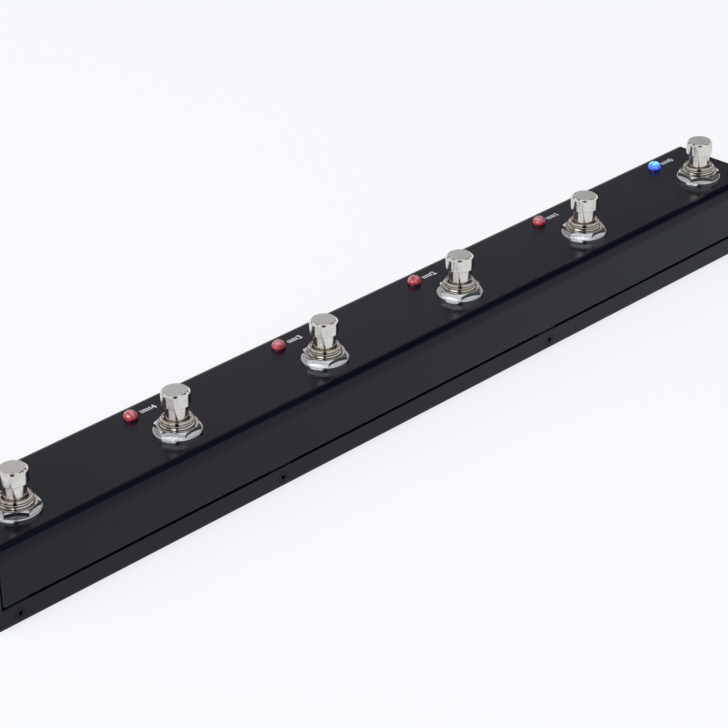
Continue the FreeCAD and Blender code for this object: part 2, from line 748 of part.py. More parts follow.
def make_switch_washers():
    """Flat washers with a softly rounded rim."""
    body = new_body("switch_washers")
    ring = new_sketch(body, "Ring", "XY_Plane", "top")
    add_circle(ring, "washer_radius", "first_switch", "switch_row")
    add_circle(ring, "washer_hole", "first_switch", "switch_row")
    washer = pad(body, ring, "washer_thick")
    repeat(body, [washer], "switch_pitch", "switch_count")
    rim, upper = size("washer_radius"), size("top") + size("washer_thick")
    round_edges(body, "washer_thick / 4", lambda edge, mid: near(mid.z, upper)
                and near(edge.Curve.Radius, rim))


def make_lock_washers():
    """Toothed lock washers between the cover and the inner nuts."""
    washers = []
    notches = int(size("notch_count"))
    for index in range(int(size("switch_count"))):
        x, y, z = switch_x(index), "switch_row", "ceiling - lock_thick"
        disc = cylinder("LockDisc", "lock_radius", "lock_thick", x, y, z)
        tools = [cylinder("LockHole", "bush_radius + clearance", "lock_thick", x, y, z)]
        for notch in range(notches):
            angle = notch * 360 / notches
            tools.append(cylinder("LockNotch", "notch_radius", "lock_thick",
                                  f"{x} + lock_radius * cos({angle})",
                                  f"{y} + lock_radius * sin({angle})", z))
        washers.append(cut("LockWasher", disc, group("LockTools", tools)))
    keep(group("LockWashers", washers), "switch_lock_washers")


def hexagon_nut(name, flats, thick, bore, x="0", y="0", z="0", axis="z", turn=0.0):
    """A hexagon nut; its corners are chamfered at 30 degrees on the face that axis points to."""
    body = prism(name + "Hexagon", flats, thick, x, y, z, axis, turn)
    face = f"{flats} / 2 + nut_land"
    blank = cone(name + "Chamfer", f"{face} + {thick} / tan(30)", face, thick, x, y, z, axis)
    hole = cylinder(name + "Hole", bore, thick, x, y, z, axis)
    return cut(name, common(name + "Blank", body, blank), hole)


def make_switch_nuts():
    """The outer nuts on the washers, and the inner nuts under the lock washers."""
    outer, inner = [], []
    for index, turn in enumerate(NUT_TURNS):
        x, y = switch_x(index), "switch_row"
        outer.append(hexagon_nut("OuterNut", "nut_flats", "nut_thick", "bush_radius", x, y,
                                 "top + washer_thick", turn=turn))
        inner.append(hexagon_nut("InnerNut", "nut_flats", "nut_thick", "bush_radius", x, y,
                                 "ceiling - lock_thick - nut_thick", turn=-turn))
    keep(group("OuterNuts", outer), "switch_nuts")
    keep(group("InnerNuts", inner), "switch_inner_nuts")


def light_x(index):
    """X of a light, counted from 0 at the left, as a formula."""
    return f"first_light + {index} * switch_pitch"


def light_solid(index):
    """One lens with its dome, hollow where the lead frame stands."""
    x, y = light_x(index), "light_row"
    shoulder = "top + lens_proud - lens_radius"
    tube = cylinder("LensTube", "lens_radius", f"{shoulder} - lens_bottom", x, y, "lens_bottom")
    flange = cylinder("LensFlange", "flange_radius", "flange_thick", x, y, "lens_bottom")
    ball = doc.addObject("Part::Sphere", "LensBall")
    ball.setExpression("Radius", bound("lens_radius"))
    place(ball, x, y, shoulder)
    above = cylinder("AboveShoulder", "2 * lens_radius", "2 * lens_radius", x, y, shoulder)
    dome = common("LensDome", ball, above)
    return cut("Lens", fuse("LensSolid", [tube, flange, dome]), lead_frame(index, "Room"))


def lead_frame(index, name):
    """Two leads, one with the cup that holds the chip, the other with a shorter post."""
    x, y = light_x(index), "light_row"
    long, foot = "lead_drop + frame_rise", "lens_bottom - lead_drop"
    head = "lens_bottom + frame_rise - lead_thick"
    left, right = f"{x} - lead_pitch / 2", f"{x} + lead_pitch / 2"
    cup_lead = block(name + "CupLead", "lead_thick", "lead_thick", long, left, y, foot)
    post_lead = block(name + "PostLead", "lead_thick", "lead_thick", long, right, y, foot)
    cup = block(name + "Cup", "anvil_long", "anvil_thick", "anvil_high",
                f"{left} + anvil_long / 2 - lead_thick / 2", y, head)
    post = block(name + "Post", "post_long", "post_thick", "post_high",
                 f"{right} - post_long / 2 + lead_thick / 2", y, head)
    return group(name, [fuse(name + "Cathode", [cup_lead, cup]),
                        fuse(name + "Anode", [post_lead, post])])


def make_lights():
    """Five loop lights and the light of the last switch, with their lead frames."""
    lenses = [light_solid(index) for index in range(int(size("switch_count")))]
    keep(group("LoopLights", lenses[:-1]), "loop_lights")
    keep(group("BypassLight", lenses[-1:]), "bypass_light")
    frames = [lead_frame(index, "Frame") for index in range(int(size("switch_count")))]
    keep(group("LeadFrames", frames), "light_leads")


def make_light_resistors():
    """A small resistor beside each light, soldered to its second lead."""
    resistors = []
    for index in range(int(size("switch_count"))):
        x = f"{light_x(index)} + lead_pitch / 2 + lead_thick / 2"
        middle = "(resistor_span - resistor_long) / 2"
        barrel = cylinder("ResistorBody", "resistor_radius", "resistor_long",
                          f"{x} + {middle}", "light_row", "resistor_level", "x")
        lead = cylinder("ResistorLead", "lead_thick / 2", "resistor_span", x, "light_row",
                        "resistor_level", "x")
        resistors.append(fuse("Resistor", [barrel, lead]))
    keep(group("Resistors", resistors), "light_resistors")


Jack = collections.namedtuple("Jack", "label x y z turn")


def jack_list():
    """Every jack's label and place; in a jack's own frame +Y points out of the panel."""
    jacks = []
    for loop in range(int(size("loop_count"))):
        bay = f"first_bay + {loop} * switch_pitch"
        for word, side in (("send", "-"), ("return", "+")):
            jacks.append(Jack(f"jack_{word}_{loop + 1}", f"{bay} {side} jack_shift",
                              "half_depth", "jack_height", FreeCAD.Rotation()))
    on_its_side = FreeCAD.Rotation(V(0, 1, 0), -90)
    for label, wall, heading in (("jack_input", "half_length", -90),
                                 ("jack_output", "-half_length", 90)):
        turn = FreeCAD.Rotation(V(0, 0, 1), heading) * on_its_side
        jacks.append(Jack(label, wall, "end_jack_row", "end_jack_height", turn))
    return jacks


def put(obj, jack):
    """Places an object that was made in a jack's own frame."""
    obj.Placement = FreeCAD.Placement(V(), jack.turn)
    return place(obj, jack.x, jack.y, jack.z)


def make_jack_housing(jack):
    """Closed housing behind the panel: seat for the sleeve, blind bore, room for the contacts."""
    body = new_body(jack.label)
    outline = new_sketch(body, "JackOutline", "XZ_Plane", "sheet_steel")
    wide, high = "jack_wide / 2", "jack_high / 2"
    add_outline(outline, ((f"-{wide}", f"-{high}"), (wide, f"-{high}"), (wide, high),
                          (f"-{wide}", high)))
    pad(body, outline, "jack_long")
    seat = new_sketch(body, "SleeveSeat", "XZ_Plane", "sheet_steel")
    add_circle(seat, "sleeve_radius")
    pocket(body, seat, "sleeve_seat", turned=True)
    bore = new_sketch(body, "PlugBore", "XZ_Plane", "sheet_steel")
    add_circle(bore, "plug_radius + plug_room")
    pocket(body, bore, "jack_long - jack_wall", turned=True)
    room = new_sketch(body, "ContactRoom", "XZ_Plane", "sheet_steel + sleeve_seat + jack_wall")
    outer, edge = "terminal_side + strip_wide", "terminal_half + strip_wide"
    add_outline(room, ((f"-({outer})", f"-({edge})"), ("-strip_wide", f"-({edge})"),
                       ("-strip_wide", edge), (f"-({outer})", edge)))
    pocket(body, room, "jack_long - sleeve_seat - 2 * jack_wall", turned=True)
    exits = new_sketch(body, "TerminalExits", "XZ_Plane", "jack_depth")
    left, right = "-terminal_side - strip_thick", "-terminal_side + strip_thick"
    for middle in ("-terminal_half", "terminal_half"):
        low = f"{middle} - strip_wide / 2 - clearance"
        high = f"{middle} + strip_wide / 2 + clearance"
        add_outline(exits, ((left, low), (right, low), (right, high), (left, high)))
    pocket(body, exits, "2 * jack_wall")
    put(body, jack)


def make_jack_sleeves():
    """Threaded sleeves that the plugs go into."""
    sleeves = []
    for jack in jack_list():
        inner_end = "-(sheet_steel + sleeve_seat)"
        shell = cylinder("SleeveShell", "sleeve_radius", "sleeve_long", y=inner_end, axis="y")
        bore = cylinder("SleeveBore", "plug_radius", "sleeve_long", y=inner_end, axis="y")
        sleeves.append(put(cut("Sleeve", shell, bore), jack))
    keep(group("Sleeves", sleeves), "jack_sleeves")


def make_jack_rings():
    """A washer and a nut on each jack sleeve."""
    washers, nuts = [], []
    for count, jack in enumerate(jack_list()):
        disc = cylinder("JackDisc", "jack_washer_radius", "jack_washer_thick", axis="y")
        hole = cylinder("JackDiscHole", "sleeve_radius + clearance", "jack_washer_thick",
                        axis="y")
        washers.append(put(cut("JackWasher", disc, hole), jack))
        nut = hexagon_nut("JackNut", "jack_nut_flats", "jack_nut_thick", "sleeve_radius",
                          y="jack_washer_thick", axis="y", turn=JACK_NUT_STEP * count)
        nuts.append(put(nut, jack))
    keep(group("JackWashers", washers), "jack_washers")
    keep(group("JackNuts", nuts), "jack_nuts")


def make_jack_contacts():
    """Two contact strips with their terminals, beside the bore of each jack."""
    strips = []
    tip_strip = "jack_long - sleeve_seat - 2 * jack_wall + terminal_long"
    sleeve_strip = "jack_long / 3 + terminal_long"
    for jack in jack_list():
        for side, reach in (("-", tip_strip), ("", sleeve_strip)):
            strip = block("ContactStrip", "strip_thick", reach, "strip_wide", "-terminal_side",
                          f"({reach}) / 2 - jack_depth - terminal_long",
                          f"{side}terminal_half - strip_wide / 2")
            strips.append(put(group("Strip", [strip]), jack))
    keep(group("JackContacts", strips), "jack_contacts")


def make_power_inlet():
    """Threaded barrel with a flange outside, its nut inside, centre pin and tails."""
    x, y, z = "first_bay + 2 * switch_pitch", "half_depth", "jack_height"
    flange = cylinder("InletFlange", "inlet_flange", "inlet_flange_thick", x, y, z, "y")
    long = "sheet_steel + inlet_long"
    barrel = cylinder("InletBarrel", "inlet_radius", long, x, f"{y} - ({long})", z, "y")
    mouth = f"{y} + inlet_flange_thick"
    bore = cylinder("InletBore", "inlet_bore", "inlet_depth", x, f"{mouth} - inlet_depth", z, "y")
    pin_room = cylinder("PinRoom", "inlet_pin", "inlet_long", x, f"{y} - ({long})", z, "y")
    shell = cut("InletShell", fuse("InletSolid", [flange, barrel]),
                group("InletTools", [bore, pin_room]))
    keep(shell, "power_inlet")
    nut = hexagon_nut("InletNut", "inlet_nut_flats", "nut_thick", "inlet_radius", x,
                      f"{y} - sheet_steel", z, "-y")
    keep(nut, "power_inlet_nut")
    pin = cylinder("InletPin", "inlet_pin", f"{long} + terminal_long", x,
                   f"{y} - ({long}) - terminal_long", z, "y")
    keep(pin, "power_inlet_pin")


def wire_tube(points, radius, bend):
    """A round wire along straight runs joined by tangent arcs of one radius."""
    edges = []
    start = points[0]
    for before, corner, after in zip(points, points[1:], points[2:]):
        inward = (corner - before).normalize()
        outward = (after - corner).normalize()
        turn = inward.getAngle(outward)
        back = bend * math.tan(turn / 2)
        first = corner - inward * back
        last = corner + outward * back
        bisector = (outward - inward).normalize()
        centre = corner + bisector * (bend / math.cos(turn / 2))
        middle = centre - bisector * bend
        edges.append(Part.LineSegment(start, first).toShape())
        edges.append(Part.Arc(first, middle, last).toShape())
        start = last
    edges.append(Part.LineSegment(start, points[-1]).toShape())
    path = Part.Wire(edges)
    heading = (points[1] - points[0]).normalize()
    section = Part.Wire([Part.Edge(Part.Circle(points[0], heading, radius))])
    return path.makePipeShell([section], True, False)


def lug_face(switch, column, rank, side_x=0, side_y=0):
    """Middle of one face of a switch lug, at the height where wires are soldered on."""
    x = number(switch_x(switch)) + column * size("lug_pitch_x") + side_x * size("lug_width") / 2
    y = size("switch_row") + rank * size("lug_pitch_y") + side_y * size("lug_thick") / 2
    return V(x, y, size("wire_level"))


def signal_route(loop, side):
    """From a send or return jack's terminal down to the front lugs of the switch beside it."""
    x = number(f"first_bay + {loop} * switch_pitch + {side} * jack_shift - terminal_side")
    tail = number("half_depth - jack_depth - terminal_long")
    high = number("jack_height - terminal_half")
    lug = lug_face(loop if side < 0 else loop + 1, -side, -1, side_y=-1)
    front = tail - size("signal_run")
    return [V(x, tail, high), V(x, front, high), V(x, front, lug.z), V(lug.x, front, lug.z), lug]


def link_route(switch):
    """From a switch to the next one in the row."""
    return [lug_face(switch, 1, 0, side_x=1), lug_face(switch + 1, -1, 0, side_x=-1)]


def light_route(switch):
    """From a light's resistor along the switch housing's side and down to its rear lugs."""
    lead_end = number(f"{light_x(switch)} + lead_pitch / 2 + lead_thick / 2 + resistor_span")
    start = V(lead_end, size("light_row"), size("resistor_level"))
    side = number(f"{switch_x(switch)} + housing_x / 2 + side_gap")
    lug = lug_face(switch, 1, 1, side_y=1)
    back = lug.y + size("light_run")
    return [start, V(side, start.y, start.z), V(side, back, start.z), V(side, back, lug.z),
            V(lug.x, back, lug.z), lug]


def end_jack_route(switch, wall):
    """From an end jack's terminal to the rear lugs of the switch beside it."""
    x = wall * number("half_length - jack_depth - terminal_long")
    y = number("end_jack_row - terminal_half")
    z = number("end_jack_height - terminal_side")
    inward = x - wall * size("end_run")
    lug = lug_face(switch, -wall, 1, side_x=-wall)
    return [V(x, y, z), V(inward, y, z), V(inward, lug.y, z), V(lug.x, lug.y, z)]


def supply_route():
    """From the power inlet's pin to the rear lugs of the switch on its right."""
    x = number("first_bay + 2 * switch_pitch")
    tail = number("half_depth - sheet_steel - inlet_long - terminal_long")
    lug = lug_face(SUPPLIED_SWITCH, -1, 1, side_x=-1)
    high = size("jack_height")
    return [V(x, tail, high), V(x, lug.y, high), V(x, lug.y, lug.z), lug]


def make_hookup_wires():
    """Insulated wires, soldered end to face on lugs and terminals."""
    last = int(size("switch_count")) - 1
    loops = range(int(size("loop_count")))
    routes = [signal_route(loop, side) for loop in loops for side in (-1, 1)]
    routes += [link_route(switch) for switch in range(last)]
    routes += [light_route(switch) for switch in range(last + 1)]
    routes += [end_jack_route(0, -1), end_jack_route(last, 1), supply_route()]
    wires = [wire_tube(route, size("wire_radius"), size("wire_bend")) for route in routes]
    obj = doc.addObject("Part::Feature", "HookupWires")
    obj.Shape = Part.makeCompound(wires)
    keep(obj, "hookup_wires")


def build():
    """Makes every sub-part."""
    make_cover()
    make_base_tray()
    make_fixing_tabs()
    make_case_screws()
    make_rubber_feet()
    for index in range(int(size("switch_count"))):
        make_plunger(index)
        make_switch_bushing(index)
        make_switch_housing(index)
        make_return_spring(index)
    make_contact_sliders()
    make_switch_lugs()
    make_switch_washers()
    make_lock_washers()
    make_switch_nuts()
    make_lights()
    make_light_resistors()
    for jack in jack_list():
        make_jack_housing(jack)
    make_jack_sleeves()
    make_jack_rings()
    make_jack_contacts()
    make_power_inlet()
    make_hookup_wires()


def check_and_write():
    """Stops on any failed object or bad shape, then writes one file per sub-part."""
    doc.recompute()
    for obj in doc.Objects:
        if "Invalid" in obj.State or "Error" in obj.State:
            raise RuntimeError(f"{obj.Name} ({obj.Label}) failed: {obj.State}")
    for obj in PARTS:
        shape = obj.Shape
        if shape.isNull() or not shape.isValid() or not shape.Solids:
            raise RuntimeError(f"{obj.Label} has no valid solid")
        if min(solid.Volume for solid in shape.Solids) <= 0:
            raise RuntimeError(f"{obj.Label} is inside out")
    for obj in PARTS:
        obj.Shape.exportStep(f"parts/{obj.Label}.step")
        print(f"{obj.Label}: {len(obj.Shape.Solids)} solids, {obj.Shape.Volume:.1f} mm3")


build()
check_and_write()
print(len(PARTS), "sub-parts")
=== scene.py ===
import json
import math

import bmesh
import bpy
from bpy.props import FloatProperty, FloatVectorProperty, IntProperty, PointerProperty
from mathutils import Matrix, Vector

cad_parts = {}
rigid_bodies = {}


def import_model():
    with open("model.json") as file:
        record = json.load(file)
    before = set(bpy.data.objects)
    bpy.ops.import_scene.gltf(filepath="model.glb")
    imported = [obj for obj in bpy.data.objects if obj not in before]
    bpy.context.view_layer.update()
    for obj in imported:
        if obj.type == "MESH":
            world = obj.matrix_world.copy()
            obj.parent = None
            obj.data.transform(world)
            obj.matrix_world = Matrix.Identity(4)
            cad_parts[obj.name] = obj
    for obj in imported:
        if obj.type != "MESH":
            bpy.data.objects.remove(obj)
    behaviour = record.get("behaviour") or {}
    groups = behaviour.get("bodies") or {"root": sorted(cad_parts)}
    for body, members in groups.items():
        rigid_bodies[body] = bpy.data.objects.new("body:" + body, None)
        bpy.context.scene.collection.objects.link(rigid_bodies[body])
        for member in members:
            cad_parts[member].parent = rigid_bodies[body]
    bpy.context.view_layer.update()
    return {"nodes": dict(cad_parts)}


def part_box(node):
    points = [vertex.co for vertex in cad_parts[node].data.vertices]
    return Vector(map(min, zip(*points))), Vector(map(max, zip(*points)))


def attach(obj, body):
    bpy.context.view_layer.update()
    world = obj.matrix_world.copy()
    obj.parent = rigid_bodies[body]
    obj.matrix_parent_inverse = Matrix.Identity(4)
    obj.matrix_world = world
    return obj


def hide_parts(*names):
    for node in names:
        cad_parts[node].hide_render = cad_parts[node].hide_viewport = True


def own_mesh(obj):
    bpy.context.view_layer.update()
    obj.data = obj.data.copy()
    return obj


bl_info = {
    "name": "Loop switcher pedal",
    "version": (1, 0, 0),
    "blender": (4, 5, 0),
    "location": "3D View > Sidebar > Pedal",
    "description": "Finishes a loop switcher pedal and lights it on a white sweep",
    "category": "Object",
}

for left_over in list(bpy.data.objects):
    bpy.data.objects.remove(left_over)

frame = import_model()
NODES = frame["nodes"]

MM = 0.001

# Steps around a switch's or a socket's round parts, and around a case screw
STEPS = 72
SCREW_STEPS = 48

SWITCH_COUNT = 6
LOOP_COUNT = 5

# Places that the frame gives: the case, the foot switches and the lights
COVER_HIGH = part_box("cover")[1]
TRAY_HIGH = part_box("base_tray")[1]
PANEL_TOP = COVER_HIGH.z
BUTTON_LOW, BUTTON_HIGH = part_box("plunger_1")
SWITCH_PLACES = [sum(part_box(f"plunger_{count}"), Vector()) / 2
                 for count in range(1, SWITCH_COUNT + 1)]
SWITCH_PITCH = SWITCH_PLACES[1].x - SWITCH_PLACES[0].x
LENS_LOW, LENS_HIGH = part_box("bypass_light")
LIGHT_SHIFT = (LENS_LOW.x + LENS_HIGH.x) / 2 - SWITCH_PLACES[-1].x
LIGHT_ROW = (LENS_LOW.y + LENS_HIGH.y) / 2
BUSHING_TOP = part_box("switch_bushing_1")[1].z
HOUSING_LOW, HOUSING_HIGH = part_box("switch_housing_1")
NUT_LOW, NUT_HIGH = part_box("switch_nuts")

# The bushings' thread: its pitch, and how far its first crest lies below the rim
THREAD_PITCH = 1.0 * MM
THREAD_LAND = 1.1 * MM

# How far each nut was turned when it was tightened, in degrees, and how far each jack nut
# and each case screw was turned beyond the one before it
NUT_TURNS = (23.0, 7.0, 56.0, 47.0, 2.0, 19.0)
JACK_NUT_STEP = 19.0
SCREW_STEP = 17.0

# Pieces on which the window lamp is only a glint
PLATED_PIECES = ["outer_nuts", "flat_washers"]
for count in range(1, SWITCH_COUNT + 1):
    PLATED_PIECES += [f"foot_button_{count}", f"threaded_bushing_{count}"]

# X of the case screws in the front and in the rear lip, in millimetres
FRONT_SCREWS = (-180.5, -68.0, 66.0, 180.5)
REAR_SCREWS = (-180.5, -65.25, 69.75, 180.5)

# The camera, fitted to the photograph: its place in metres, and its turns in degrees
CAMERA_PLACE = (-0.591214, -0.608554, 0.476203)
CAMERA_TURN = (61.43136, 1.52168, -44.59139)

# The floor: its radius in metres, its two papers, and its own share of white light
FLOOR_RADIUS = 4.0
PAPER = ((0.86, 0.865, 0.875), (0.88, 0.885, 0.895))
FLOOR_GLOW = 0.82

# The lamp at the left: its sides and its place in metres, and the point that it looks at
WINDOW_SIZE = (2.2, 0.25)
WINDOW_PLACE = (-1.75, -0.12, 0.96)
WINDOW_AIM = (0.0, 0.0, 0.03)

# The room, as directions: the azimuth of the camera's side, the azimuth and elevation of
# the far wall's middle, and boxes. A box has its left and right side in degrees from the
# camera's side, and its lower and upper edge as the sine of an elevation
CAMERA_SIDE = 227.0
FAR_WALL = (64.0, 29.0)
SOFT_BOXES = (
    (-76.0, -8.0, 0.64, 0.93),
    (8.0, 80.0, 0.30, 0.93),
    (-128.0, -70.0, 0.36, 0.78),
    (74.0, 98.0, 0.20, 0.76),
    (92.0, 128.0, 0.20, 0.60),
)
ONLOOKER = ((-15.0, 15.0, 0.60, 0.88), (-25.0, 25.0, 0.80, 0.93))


# Sizes and colours that a user may change

def length(name, description, default):
    """A length property in metres."""
    return FloatProperty(name=name, description=description, default=default, min=0.0,
                         precision=5, unit="LENGTH", subtype="DISTANCE")


def factor(name, description, default):
    """A share from 0 to 1."""
    return FloatProperty(name=name, description=description, default=default, min=0.0,
                         max=1.0, subtype="FACTOR")


def colour(name, description, default):
    """A colour without alpha."""
    return FloatVectorProperty(name=name, description=description, default=default, size=3,
                               min=0.0, max=1.0, subtype="COLOR")


class PedalPaint(bpy.types.PropertyGroup):
    """Paint, print and screws of the case"""

    coat: colour("Coat", "Satin powder coat of cover and tray", (0.0020, 0.0024, 0.0062))
    # The edge colour is partly thin, rubbed coat and partly a painted highlight where the edges
    # catch the light.
    thin_coat_and_edge_highlight: colour("Thin coat", "The same coat where it is thin, along edges",
                      (0.050, 0.056, 0.066))
    coat_roughness: factor("Coat roughness", "How satin the coat is", 0.20)
    peel: length("Orange peel", "Width of the coat's ripples", 1.3 * MM)
    ink: colour("Ink", "Printed numbers", (0.86, 0.87, 0.88))
    digit_height: length("Digit height", "Height of the printed numbers", 2.6 * MM)
    tick_pitch: length("Tick pitch", "Spacing of the printed ticks", 0.95 * MM)
    tick_count: IntProperty(name="Ticks", description="Printed ticks before a number",
                            default=5, min=0, max=12)
    screw_steel: colour("Screw steel", "Blackened steel of the case screws",
                        (0.022, 0.021, 0.021))


class PedalSwitches(bpy.types.PropertyGroup):
    """Sizes and platings of the foot switches"""

    nickel: colour("Nickel", "Plating of nuts and washers", (0.77, 0.76, 0.745))
    warm_nickel: colour("Warm nickel", "Plating of the bushings", (0.62, 0.55, 0.475))
    cap_nickel: colour("Cap nickel", "Plating of the buttons", (0.79, 0.73, 0.66))
    cap_radius: length("Cap radius", "Button's cap", (BUTTON_HIGH.x - BUTTON_LOW.x) / 2)
    cap_height: length("Cap height", "Button's cap", 5.0 * MM)
    cap_chamfer: length("Cap chamfer", "Bevelled upper edge of the cap", 0.75 * MM)
    stem_radius: length("Stem radius", "Button's stem", 3.95 * MM)
    thread_radius: length("Thread radius", "Bushing's thread", 6.0 * MM)
    bore_radius: length("Bore radius", "Bushing's bore", 4.0 * MM)
    washer_radius: length("Washer radius", "Flat washer", 8.35 * MM)
    nut_flats: length("Nut", "Across the nut's flats", 14.0 * MM)


class PedalLights(bpy.types.PropertyGroup):
    """Sizes and colours of the indicator lights"""

    # Each lens is darkened towards its foot as painted shade and paled towards its top colour
    # as a painted highlight.
    red: colour("Red", "Unlit red lens, at half its height", (0.74, 0.06, 0.09))
    red_top_highlight: colour("Red dome", "Unlit red lens, at its top", (0.95, 0.40, 0.44))
    blue: colour("Blue", "Lit blue lens, at half its height", (0.045, 0.10, 0.74))
    blue_top_highlight: colour("Blue dome", "Lit blue lens, at its top", (0.17, 0.56, 0.95))
    glow: FloatProperty(name="Glow", description="Strength of the lit lens", default=1.2,
                        min=0.0)
    lens_radius: length("Lens radius", "Dome of a light", 2.5 * MM)
    flange_radius: length("Flange radius", "Foot of a light",
                          (LENS_HIGH.x - LENS_LOW.x) / 2)


class PedalSockets(bpy.types.PropertyGroup):
    """Sizes of the jack sockets and of the power inlet"""

    sleeve_radius: length("Sleeve radius", "Threaded sleeve of a jack", 4.75 * MM)
    bore_radius: length("Bore radius", "Room for a 6.35 mm plug", 3.2 * MM)
    proud: length("Sleeve beyond the panel", "How far a sleeve stands out", 3.4 * MM)
    washer_radius: length("Washer radius", "Washer of a jack", 7.0 * MM)
    nut_flats: length("Nut", "Across the flats of a jack's nut", 12.7 * MM)


class PedalStage(bpy.types.PropertyGroup):
    """Camera, sweep and light"""

    lens: FloatProperty(name="Lens", description="Focal length of the camera", default=133.958,
                        min=1.0, unit="CAMERA")
    sweep: colour("Sweep", "White of the floor and of the wall behind", (0.975, 0.983, 1.0))
    shine: colour("Shine", "The same white as metal and coat show it", (0.86, 0.915, 0.985))
    room: colour("Room", "Unlit part of the studio", (0.04, 0.039, 0.042))
    far_wall: colour("Far wall", "Wall behind the pedal", (0.49, 0.465, 0.49))
    soft_box: colour("Soft boxes", "Light overhead and beside the camera", (0.83, 0.88, 0.94))
    window: FloatProperty(name="Window", description="Brightness of the long lamp at the left",
                          default=22.0, min=0.0)
    glint: FloatProperty(name="Glint", description="Brightness of the same lamp on plating",
                         default=3.0, min=0.0)


SETTINGS = {
    "pedal_paint": PedalPaint,
    "pedal_switches": PedalSwitches,
    "pedal_lights": PedalLights,
    "pedal_sockets": PedalSockets,
    "pedal_stage": PedalStage,
}


# Solids: outlines, rings, turned shapes and their rounded edges

def circle(radius):
    """Outline of a ring: the point on a circle at an angle."""
    def point(angle):
        return radius * math.cos(angle), radius * math.sin(angle)
    return point


def hexagon(flats):
    """Outline of a ring: the point on a hexagon, given across its flats, at an angle."""
    def point(angle):
        from_flat = angle % (math.pi / 3) - math.pi / 6
        radius = flats / 2 / math.cos(from_flat)
        return radius * math.cos(angle), radius * math.sin(angle)
    return point


def rectangle(wide, deep):
    """Outline of a ring: the point on a rectangle, with its corners at odd eighths."""
    def point(angle):
        across, along = math.cos(angle), math.sin(angle)
        longest = max(abs(across), abs(along))
        return wide / 2 * across / longest, deep / 2 * along / longest
    return point


def ring_solid(rings, steps=STEPS, capped=False):
    """A solid extruded from ring to ring; its ends are capped, or joined to each other."""
    bm = bmesh.new()
    angle_of = bm.verts.layers.float.new("angle")
    verts = bmesh.ops.create_circle(bm, segments=steps, radius=1.0)["verts"]
    for vert in verts:
        vert[angle_of] = math.atan2(vert.co.y, vert.co.x)
    first = edges = list(bm.edges)
    for count, (outline, height) in enumerate(rings):
        if count:
            made = bmesh.ops.extrude_edge_only(bm, edges=edges)["geom"]
            verts = [item for item in made if isinstance(item, bmesh.types.BMVert)]
            edges = [item for item in made if isinstance(item, bmesh.types.BMEdge)
                     and all(vert in verts for vert in item.verts)]
        for vert in verts:
            x, y = outline(vert[angle_of])
            z = height(math.hypot(x, y)) if callable(height) else height
            vert.co = (x, y, z)
    if capped:
        for loop in (first, edges):
            bmesh.ops.contextual_create(bm, geom=loop)
    else:
        bmesh.ops.bridge_loops(bm, edges=first + edges)
    bmesh.ops.recalc_face_normals(bm, faces=bm.faces)
    return bm


def turned_solid(outline, steps=STEPS, closed=False):
    """A solid spun about Z from (radius, height) points; it is closed or ends on the axis."""
    bm = bmesh.new()
    points = [bm.verts.new((radius, 0.0, height)) for radius, height in outline]
    pairs = list(zip(points, points[1:]))
    if closed:
        pairs.append((points[-1], points[0]))
    edges = [bm.edges.new(pair) for pair in pairs]
    bmesh.ops.spin(bm, geom=points + edges, cent=(0, 0, 0), axis=(0, 0, 1), dvec=(0, 0, 0),
                   angle=math.tau, steps=steps, use_merge=True, use_duplicate=False)
    bmesh.ops.remove_doubles(bm, verts=bm.verts, dist=0.0001 * MM)
    bmesh.ops.recalc_face_normals(bm, faces=bm.faces)
    return bm


def bevel(bm, edges, width, segments):
    """Rounds edges with a circular bevel."""
    bmesh.ops.bevel(bm, geom=edges, offset=width, offset_type="OFFSET", affect="EDGES",
                    segments=segments, profile=0.5, material=-1, clamp_overlap=True)


def round_ring(bm, radius, height, width, segments):
    """Rounds the ring of edges that has this radius and height."""
    def on_ring(vert):
        reach = math.hypot(vert.co.x, vert.co.y)
        return abs(reach - radius) < 0.02 * MM and abs(vert.co.z - height) < 0.01 * MM
    bevel(bm, [edge for edge in bm.edges if all(map(on_ring, edge.verts))], width, segments)


def round_sharp(bm, width, segments=2, sharpest=35.0):
    """Rounds each edge whose faces meet at more than an angle in degrees."""
    limit = math.radians(sharpest)
    edges = [edge for edge in bm.edges
             if len(edge.link_faces) == 2 and edge.calc_face_angle(0.0) > limit]
    bevel(bm, edges, width, segments)


def block_solid(low, high, width):
    """A rounded block between two corners."""
    bm = bmesh.new()
    low, high = Vector(low), Vector(high)
    verts = bmesh.ops.create_cube(bm, size=1.0)["verts"]
    bmesh.ops.scale(bm, vec=high - low, verts=verts)
    bmesh.ops.translate(bm, vec=(low + high) / 2, verts=verts)
    bevel(bm, list(bm.edges), width, 2)
    return bm


def mesh_of(bm, name):
    """Turns a bmesh into a mesh and frees it."""
    mesh = bpy.data.meshes.new(name)
    bm.to_mesh(mesh)
    bm.free()
    return mesh


def add_copies(whole, sample, places):
    """Adds a copy of a solid to a bmesh at each place, which is a matrix, and frees it."""
    mesh = mesh_of(sample, "sample")
    for place in places:
        known = len(whole.verts)
        whole.from_mesh(mesh)
        whole.verts.ensure_lookup_table()
        bmesh.ops.transform(whole, matrix=place, verts=whole.verts[known:])
    bpy.data.meshes.remove(mesh)
    return whole


def nut_solid(flats, thick, bore):
    """A hexagon nut, chamfered at 30 degrees on its upper face."""
    face = flats / 2 + 0.1 * MM
    lead_in = 0.3 * MM

    def chamfered(reach):
        return thick - (reach - face) * math.tan(math.radians(30.0))

    solid = ring_solid([
        (circle(bore), 0.0),
        (hexagon(flats), 0.0),
        (hexagon(flats), chamfered),
        (circle(face), thick),
        (circle(bore + lead_in), thick),
        (circle(bore), thick - lead_in),
    ])
    round_sharp(solid, 0.09 * MM, sharpest=22.0)
    return solid


def washer_solid(radius, hole, thick, rounding):
    """A flat round washer with its rims rounded."""
    solid = turned_solid([(hole, 0.0), (radius, 0.0), (radius, thick), (hole, thick)],
                         closed=True)
    round_ring(solid, radius, thick, rounding, 4)
    round_ring(solid, hole, thick, 0.1 * MM, 2)
    return solid


